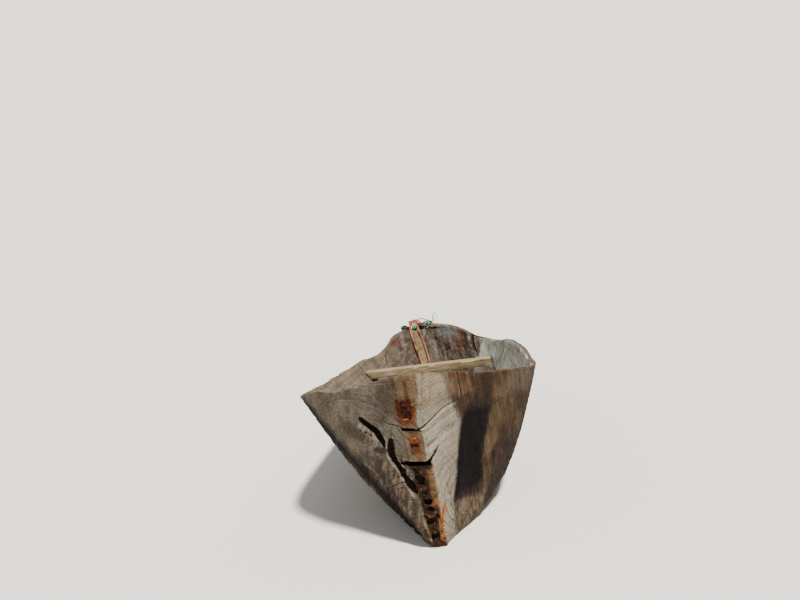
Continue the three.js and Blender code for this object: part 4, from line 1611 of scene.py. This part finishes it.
def cut_away(piece, cutter, how="DIFFERENCE"):
    """Cuts a piece, with torn wood darkened as painted shade, its second material, on the cut."""
    for face in cutter.data.polygons:
        face.material_index = 1
    change = piece.modifiers.new("cut", "BOOLEAN")
    change.operation = how
    change.object = cutter
    change.solver = "MANIFOLD"
    apply_all(piece)


def colour_wood(piece):
    """Gives the hull or the blocks their tone and their growth rings."""
    points = read_points(piece)
    set_field(piece, "tone", hull_tones(points))
    set_field(piece, "ring", ring_field(points))


def build_log():
    """The whole hewn log with its hollow, before anything is cut out of it."""
    grid = hull_grid()
    rows, columns = grid.shape[:2]
    bpy.ops.mesh.primitive_grid_add(x_subdivisions=columns - 1, y_subdivisions=rows - 1)
    log = named("dugout_hull")
    write_points(log, grid)
    outward(log)
    points, normals = read_points(log), read_normals(log)
    points = points - normals * relief(points)[:, None]
    distance, bow, left_side = stem_measures(points)
    top = rim_height(distance, bow, left_side)
    points[:, 2] -= rim_wear(points) * ramp(points[:, 2], top - RIM_WEAR_REACH, top)
    write_points(log, points)
    return log


def slab_outline():
    """Points round a slab as place across and depth behind the stem face."""
    half = RECESS_HALF - BLOCK_GAP
    across = np.linspace(-half, half, 18)
    front = [[x, -RECESS_FRONT] for x in across]
    rear = [[x, RECESS_DEPTH - BLOCK_GAP] for x in across[::-1]]
    return front + rear


def slab_cutter(low, high):
    """A ragged-edged slab of the near stem between two heights."""
    lower_top = BLOCK_HEIGHTS[1][1]
    rings = []
    for share in np.linspace(0, 1, 30):
        ring = []
        for x, back in slab_outline():
            close = float(ramp(x, *BLOCK_CLOSING)) * (low > lower_top)
            foot = low + (lower_top + BLOCK_GAP - low) * close
            z = foot + (high - foot) * share - BLOCK_LEAN * x
            edge = SLAB_EDGE_DEPTH * noise(np.array([[x, back, 0.0]]), 0.012, 62)[0]
            z += edge * (1 - min(share, 1 - share) * 2)
            ring.append([x, stem_face_y(z) + back, z])
        rings.append(ring)
    return swept("slab_cutter", rings)


def build_blocks(log):
    """Two blocks let into the near stem, with the log's own surface on them."""
    blocks = []
    for k, (low, high) in enumerate(BLOCK_HEIGHTS):
        only(log)
        bpy.ops.object.duplicate()
        block = named(f"stem_block_{k}")
        cutter = slab_cutter(low, high)
        cut_away(block, cutter, "INTERSECT")
        bpy.data.objects.remove(cutter)
        for x, z in SPIKES:
            if low < z < high:
                hole = shank("spike_hole", x, z, SPIKE_RADIUS + BLOCK_GAP, SPIKE_LENGTH + 0.002)
                cut_away(block, hole)
                bpy.data.objects.remove(hole)
        blocks.append(block)
    return blocks


def build_hull():
    """The hull and its two stem blocks, cut, split and coloured."""
    log = build_log()
    for material in (weathered_wood(), shaded_torn_wood()):
        log.data.materials.append(material)
    blocks = build_blocks(log)
    for cutter in hull_cutters():
        for piece in [log] + blocks:
            if piece is log or cutter.name.startswith("near_split"):
                cut_away(piece, cutter)
        bpy.data.objects.remove(cutter)
    colour_wood(log)
    finish_piece(log, "weathered_wood", [], "hull")
    deselect()
    block = join("stem_blocks", blocks)
    colour_wood(block)
    finish_piece(block, "stained_wood", [], "stem_block_upper", "stem_block_lower")


# Spikes
# height of the ledge under the upper scab, given a painted highlight
UPPER_LEDGE_HIGHLIGHT_HEIGHT = 0.4525
LOWER_SPIKE_BARE_HEIGHT = 0.364
# spot on the lower scab given a painted highlight
LOWER_SCAB_HIGHLIGHT = ((0.0, 0.387), (0.006, 0.005))
RIGHT_HEAD = ((0.0155, 0.492), (0.008, 0.009))


def lump(name, place, radii, seed, uneven, fineness=3):
    """A small uneven lump."""
    bpy.ops.mesh.primitive_ico_sphere_add(subdivisions=fineness, radius=1)
    piece = named(name)
    points = read_points(piece)
    swell = 1 + uneven * fractal(points, 1.3, seed, 4, 0.45)
    write_points(piece, points * swell[:, None] * radii + place)
    return piece


def shank(name, x, z, radius, length):
    """A round spike driven in at x, z."""
    bpy.ops.mesh.primitive_cylinder_add(
        vertices=16,
        radius=radius,
        depth=length,
        location=(x, float(near_face_y(x, z)) + length / 2 - SPIKE_STANDS_OUT, z),
        rotation=(math.pi / 2, 0, 0),
    )
    piece = named(name)
    apply_place(piece)
    return piece


def spike_tones(points):
    """Dark rust with red and orange flakes, a painted highlight on the lower scab, and pale rust
    on the ledge under the upper scab brightened as a painted highlight.
    """
    x, z = points[:, 0], points[:, 2]
    lower = ramp(z, 0.41, 0.4) * ramp(np.abs(z - LOWER_SPIKE_BARE_HEIGHT), 0.004, 0.009)
    upper_ledge_highlight = ramp(np.abs(z - UPPER_LEDGE_HIGHLIGHT_HEIGHT), 0.007, 0.003) * (z > 0.44)
    return layered(
        np.tile(RUST_PURPLE, (len(points), 1)),
        (RUST_RED, ramp(fractal(points, 0.012, 121, 4), 0.0, 0.4)),
        (ORANGE_RUST, 0.7 * ramp(fractal(points, 0.007, 122, 3), 0.3, 0.6)),
        (COLUMN_RUST, 0.75 * lower),
        # painted highlight on the lower scab
        (RUST_LIP_HIGHLIGHT, 0.9 * in_patch(x, z, LOWER_SCAB_HIGHLIGHT, 1.0, 0.5)),
        (OCHRE, 0.8 * in_patch(x, z, RIGHT_HEAD, 1.2, 0.6)),
        # pale rust on the upper scab's ledge, brightened as a painted highlight
        (RUST_LIP_HIGHLIGHT, upper_ledge_highlight * ramp(fractal(points, 0.008, 123, 2), -0.4, 0.2)),
    )


def build_spikes():
    """Rusted spike heads with the scabs of rust that have grown round them."""
    parts = []
    for k, (x, z) in enumerate(SPIKES):
        place = (x, float(near_face_y(x, z)) - 0.001, z)
        parts.append(shank(f"shank_{k}", x, z, SPIKE_RADIUS, SPIKE_LENGTH))
        parts.append(lump(f"head_{k}", place, SPIKE_HEAD, 100 + k, 0.25))
    for k, (x, z, across, out, up) in enumerate(SCABS):
        place = (x, float(near_face_y(x, z)), z)
        parts.append(lump(f"scab_{k}", place, (across, out, up), 110 + k, 0.42, 5))
    spikes = join("stem_spikes", parts)
    set_field(spikes, "tone", spike_tones(read_points(spikes)))
    names = ["stem_spike_upper_left", "stem_spike_upper_right", "stem_spike_lower"]
    finish_piece(spikes, "rusty_iron", [rusty_iron()], *names, smooth=50)


# Thwart
BOARD_WEAR_DEPTH = 0.0016
BOARD_GROOVE_DEPTH = 0.0016
BOARD_CHIP_DEPTH = 0.005
# points along the four sides of its section
BOARD_SIDE_POINTS = (30, 10, 30, 10)


def board_outline():
    """Points round the board's section, as place across it and height, its edges rounded."""
    half = np.array([THWART_WIDTH, THWART_THICKNESS]) / 2 - THWART_ROUNDING
    corners = half * [[-1, 1], [1, 1], [1, -1], [-1, -1]]
    sides = []
    for start, stop, count in zip(corners, np.roll(corners, -1, axis=0), BOARD_SIDE_POINTS):
        share = np.linspace(0, 1, count, endpoint=False)[:, None]
        sides.append(start + (stop - start) * share)
    outline = np.concatenate(sides)
    out = np.sign(outline) * (np.abs(outline) > half - 1e-6)
    return outline + THWART_ROUNDING * out / np.linalg.norm(out, axis=1, keepdims=True)


def board_wear(points):
    """How deep the board is worn, grooved along its grain and chipped at its edges."""
    from_side = THWART_WIDTH / 2 - np.abs(points[:, 1])
    edge = from_side + THWART_THICKNESS / 2 - np.abs(points[:, 2])
    wear = BOARD_WEAR_DEPTH * (1 + fractal(points, (0.05, 0.02, 0.02), 131, 3))
    lines = np.abs(fractal(points, (0.3, 0.012, 0.012), 132, 2))
    grooves = BOARD_GROOVE_DEPTH * ramp(lines, 0.1, 0.0)
    chips = BOARD_CHIP_DEPTH * ramp(edge, 0.012, 0.0)
    return wear + grooves + chips * ramp(fractal(points, (0.05, 0.03, 0.03), 133, 2), 0.1, 0.6)


def board_tones(points, flat):
    """Tones of the board's points, from where they lie and where they were while it was flat."""
    low = -THWART_THICKNESS / 2
    front = ramp(flat[:, 1], -THWART_WIDTH / 2 + 0.006, -THWART_WIDTH / 2 + 0.002)
    right_part = ramp(points[:, 0] + 0.05 * fractal(points, 0.1, 134, 2), 0.05, 0.2)
    right_end = ramp(flat[:, 0], THWART_RIGHT_END - 0.018, THWART_RIGHT_END - 0.01)
    # painted shade of a hole near the left end of the front face
    nail = ((points[:, 0].min() + 0.024, -0.004), (0.006, 0.006))
    return layered(
        np.tile(BOARD_TAN, (len(points), 1)),
        # painted shade on the front face, olive towards the right
        (BOARD_FRONT_SHADED, front),
        (BOARD_OLIVE_SHADED, front * right_part),
        (BOARD_GREY, 0.7 * ramp(fractal(points, (0.25, 0.02, 0.02), 135, 3), 0.0, 0.5)),
        (DARK_BROWN, 0.6 * ramp(fractal(points, (0.08, 0.015, 0.015), 136, 3), 0.35, 0.7)),
        # painted shade on the board's lower half and underside
        (WORN_BROWN, 0.6 * ramp(flat[:, 2], 0.0, low)),
        # dark right end: end grain, with the shadow beside the end painted onto it
        (STAIN, 0.85 * right_end * ramp(flat[:, 2], -0.012, 0.0)),
        (DARK_BROWN, 0.6 * right_end),
        # painted shade of a hole near the left end
        (STAIN, 0.9 * front * in_patch(points[:, 0], flat[:, 2], nail, 1.1, 0.7)),
    )


def build_thwart():
    """A loose sawn board across the hull, wedged against its left side."""
    across, up = board_outline().T
    rings = []
    for x in np.arange(THWART_RIGHT_END, THWART_LEFT_END, -THWART_STEP):
        end = min((THWART_RIGHT_END - x) / 0.004, 1)
        ring = [np.full(len(up), x), across * (0.97 + 0.03 * end), up * (0.9 + 0.1 * end)]
        rings.append(np.stack(ring, -1))
    board = swept("thwart_board", rings)
    points = read_points(board)
    points -= read_normals(board) * board_wear(points)[:, None]
    flat = points.copy()
    middle = THWART_TOP - THWART_THICKNESS / 2
    points[:, 2] += middle + (THWART_RIGHT_END - points[:, 0]) * THWART_TILT
    points[:, 1] += THWART_ALONG - points[:, 0] * THWART_SKEW
    distance, bow, left_side = stem_measures(points)
    wall = inner_half(distance, points[:, 2], bow, left_side) - 0.001
    points[:, 0] = np.maximum(points[:, 0], -wall)
    write_points(board, points)
    set_field(board, "tone", board_tones(points, flat))
    finish_piece(board, "board_wood", [board_wood()], "thwart", smooth=50)


# Rope and twine at the bow, and round patches of tone on them as place and radii
DIRTY_ROPE = ((-0.062, 0.604), (0.03, 0.03))
RED_ROPE = ((-0.09, 0.655), (0.02, 0.012))
WHITE_TWINE = ((-0.052, 0.583), (0.016, 0.012))
COIL_TURN_POINTS = 60
COIL_UNEVENNESS = 0.18


def bow_left_y(half_at, x, z):
    """Where the outside or the hollow of the bow's left side passes x, z."""
    low, high = HALF - 0.6, HALF
    for _ in range(40):
        middle = (low + high) / 2
        if half_at(HALF - middle, np.array(z), True, True) > -x:
            low = middle
        else:
            high = middle
    return low


def beside_wood(half_at, out, x, z):
    """The middle of a rope that lies on that side. out is 1 outside and -1 in the hollow."""
    def side_y(x, z):
        return bow_left_y(half_at, x, z)

    away = math.hypot(1, *slopes(side_y, x, z, 0.001))
    return [x, side_y(x, z) + out * (ROPE_RADIUS + 0.003) * away, z]


def bow_rim(y):
    """Height of the left rim at the bow."""
    return float(rim_height(HALF - y, True, True))


def over_rim(x):
    """Places of a rope that passes over the left rim, from the hollow outwards."""
    nominal = bow_rim(HALF - 0.15)
    inner, outer = bow_left_y(inner_half, x, nominal), bow_left_y(outer_half, x, nominal)
    above = []
    for along in (-0.002, (outer - inner) / 2, outer - inner + 0.008):
        y = inner + along
        above.append([x, y, bow_rim(y) + ROPE_RADIUS + 0.006])
    first = beside_wood(inner_half, -1, x, bow_rim(inner) - 0.012)
    return [first] + above + [beside_wood(outer_half, 1, x, bow_rim(outer) - 0.006)]


def turn_path(hole, inside, rim, outside):
    """One turn of the lashing through the hole, up the inside, over the rim and down."""
    start = beside_wood(inner_half, -1, hole, ROPE_HOLE_HEIGHT)
    end = beside_wood(outer_half, 1, hole, ROPE_HOLE_HEIGHT)
    middle = [(a + b) / 2 for a, b in zip(start, end)]
    up = [beside_wood(inner_half, -1, x, z) for x, z in inside]
    down = [beside_wood(outer_half, 1, x, z) for x, z in outside]
    return smooth_path([middle, start] + up + over_rim(rim) + down + [end, middle], TURN_STEP)


def coil(middle, radii, turns, start, stop, seed):
    """Turns of rope side by side round a line across the hull."""
    t = np.linspace(0, 1, int(COIL_TURN_POINTS * turns))
    angle = 2 * np.pi * turns * t
    x = start + (stop - start) * t
    swell = 1 + COIL_UNEVENNESS * noise(np.stack([angle, t, t], -1), 1.7, seed)
    y = middle[0] + radii[0] * swell * np.cos(angle)
    z = middle[1] + radii[1] * swell * np.sin(angle)
    return np.stack([x, y, z], -1)


def tangled(name, place, radii, count, radius, seed, lowest):
    """A crumpled handful of twine."""
    chance = np.random.default_rng(seed)
    parts = []
    for k in range(count):
        first, second = chance.normal(size=(2, 3))
        first /= np.linalg.norm(first)
        second -= first * first.dot(second)
        second /= np.linalg.norm(second)
        t = np.linspace(0, 2 * np.pi * chance.uniform(0.7, 1.3), 46)[:, None]
        reach = chance.uniform(0.6, 1.05) * (1 + 0.2 * np.sin(3 * t + k))
        path = place + np.array(radii) * (first * np.cos(t) + second * np.sin(t)) * reach
        path[:, 2] = np.maximum(path[:, 2], lowest + radius * chance.uniform(0.9, 2.5))
        parts.append(cord(f"{name}_{k}", path, radius, 6))
    return join(name, parts)


def mixed_tones(points, colours, seed, size):
    """A few colours mixed over a rope or twine, the first one most."""
    tone = np.tile(colours[0], (len(points), 1))
    for k, colour in enumerate(colours[1:]):
        tone = blend(tone, colour, ramp(fractal(points, size, seed + k, 3), 0.05, 0.45))
    return tone


def build_lashing():
    """The doubled rope with its wraps, its hitch, its led end and a crumpled bundle."""
    parts = []
    for k, turn in enumerate(LASHING_TURNS):
        parts.append(laid_rope(f"turn_{k}", turn_path(*turn), ROPE_RADIUS, ROPE_PITCH))
    parts.append(laid_rope("wraps", coil(*WRAPS, 141), WRAP_RADIUS, WRAP_PITCH))
    parts.append(laid_rope("hitch", smooth_path(HITCH, CORD_STEP), HITCH_RADIUS, WRAP_PITCH))
    parts.append(laid_rope("led_end", smooth_path(LED_END, CORD_STEP), LED_RADIUS, LED_PITCH))
    parts.append(tangled("bundle", *BUNDLE))
    lashing = join("painter_lashing_rope", parts)
    points = read_points(lashing)
    x, z = points[:, 0], points[:, 2]
    tone = layered(
        mixed_tones(points, [ROPE_ORANGE, ROPE_SALMON, ROPE_FADED, ROPE_DIRT], 142, 0.03),
        (ROPE_DIRT, 0.85 * in_patch(x, z, DIRTY_ROPE, 1.1, 0.7)),
        (ROPE_RED, 0.7 * in_patch(x, z, RED_ROPE, 1.2, 0.6)),
    )
    set_field(lashing, "tone", tone)
    look = twine_look("orange_rope", 0.85)
    finish_piece(lashing, "orange_rope", [look], "painter_lashing", smooth=60)


def build_net_tie():
    """The lump of green net twine on the rope, paler on its upper left."""
    net = tangled("net_tie_twine", *NET_TIE)
    points = read_points(net)
    middle_x, _, middle_z = NET_TIE[0]
    pale = ramp(points[:, 2] - 0.6 * (points[:, 0] - middle_x), middle_z, middle_z + 0.016)
    tone = mixed_tones(points, [NET_GREEN, NET_PALE, NET_DEEP], 151, 0.009)
    set_field(net, "tone", blend(tone, NET_PALE, 0.8 * pale))
    finish_piece(net, "green_twine", [twine_look("green_twine", 0.8)], "net_tie", smooth=60)


def build_dark_twine():
    """The tangle at the stem's head with its tail, and a loose scrap left of it."""
    parts = [
        tangled("tangle", *TANGLE),
        tangled("hanging", *HANGING),
        cord("tail", smooth_path(TAIL, CORD_STEP), TAIL_RADIUS, 6),
        cord("tail_fray", smooth_path(TAIL_FRAY, CORD_STEP), FRAY_RADIUS, 6),
    ]
    twine = join("twine_tangle_cord", parts)
    points = read_points(twine)
    x, z = points[:, 0], points[:, 2]
    tone = layered(
        mixed_tones(points, [TWINE_DARK, TWINE_GREEN, TWINE_BLACK, NET_PALE], 152, 0.011),
        (NET_PALE, 0.4 * ramp(z - 0.4 * x, 0.615, 0.63)),
        (NET_GREEN, 0.9 * ramp(z, 0.628, 0.636)),
        (FIBRE_WHITE, 0.9 * in_patch(x, z, WHITE_TWINE, 1.1, 0.7)),
    )
    set_field(twine, "tone", tone)
    dark = twine_look("dark_twine", 0.85)
    finish_piece(twine, "dark_twine", [dark], "twine_tangle", smooth=60)
    scrap = tangled("twine_scrap", *SCRAP)
    points = read_points(scrap)
    set_field(scrap, "tone", mixed_tones(points, [TWINE_DARK, TWINE_BLACK, ROPE_DIRT], 153, 0.01))
    finish_piece(scrap, "dark_twine", [dark], smooth=60)


# Floor and light
SUN_FROM = Vector((0.28, -0.66, 0.70))
SUN_STRENGTH = 8.5
SUN_COLOUR = (1.0, 0.96, 0.9)
SUN_SPREAD = 5
SKY_STRENGTH = 0.5
SKY_COLOUR = (0.94, 0.97, 1.0)
FLOOR_SIZE = 120
FLOOR_COLOUR = srgb(249, 245, 236)
BACKDROP_RADIUS = 58
BACKDROP_HEIGHT = 70


def add_floor():
    bpy.ops.mesh.primitive_plane_add(size=FLOOR_SIZE)
    floor = named("floor")
    look = Look("pale_floor", roughness=0.9, specular=0.1)
    look.colour(FLOOR_COLOUR)
    floor.data.materials.append(look.material)
    return floor


def add_backdrop():
    """A wall that glows as the lit floor does, so that the two run into each other."""
    bpy.ops.mesh.primitive_cylinder_add(
        vertices=96, radius=BACKDROP_RADIUS, depth=BACKDROP_HEIGHT, end_fill_type="NOTHING"
    )
    backdrop = named("backdrop")
    sunlight = SUN_STRENGTH * SUN_FROM.normalized().z / math.pi * np.array(SUN_COLOUR)
    skylight = SKY_STRENGTH * np.array(SKY_COLOUR)
    look = Look("backdrop_glow", roughness=1.0, specular=0.0)
    look.colour((0.0, 0.0, 0.0))
    look.feed(look.shader.inputs["Emission Color"], FLOOR_COLOUR * (sunlight + skylight))
    look.shader.inputs["Emission Strength"].default_value = 1.0
    backdrop.data.materials.append(look.material)
    backdrop.visible_diffuse = False
    backdrop.visible_glossy = False
    backdrop.visible_shadow = False
    return backdrop


def add_light():
    bpy.ops.object.light_add(type="SUN")
    sun = bpy.context.active_object
    sun.rotation_mode = "QUATERNION"
    sun.rotation_quaternion = SUN_FROM.to_track_quat("Z", "Y")
    sun.data.energy = SUN_STRENGTH
    sun.data.angle = math.radians(SUN_SPREAD)
    sun.data.color = SUN_COLOUR
    world = bpy.data.worlds.new("studio")
    bpy.context.scene.world = world
    world.use_nodes = True
    sky = world.node_tree.nodes["Background"]
    sky.inputs["Color"].default_value = (*SKY_COLOUR, 1)
    sky.inputs["Strength"].default_value = SKY_STRENGTH


add_camera()
build_hull()
build_spikes()
build_thwart()
build_lashing()
build_net_tie()
build_dark_twine()
add_floor()
add_backdrop()
add_light()
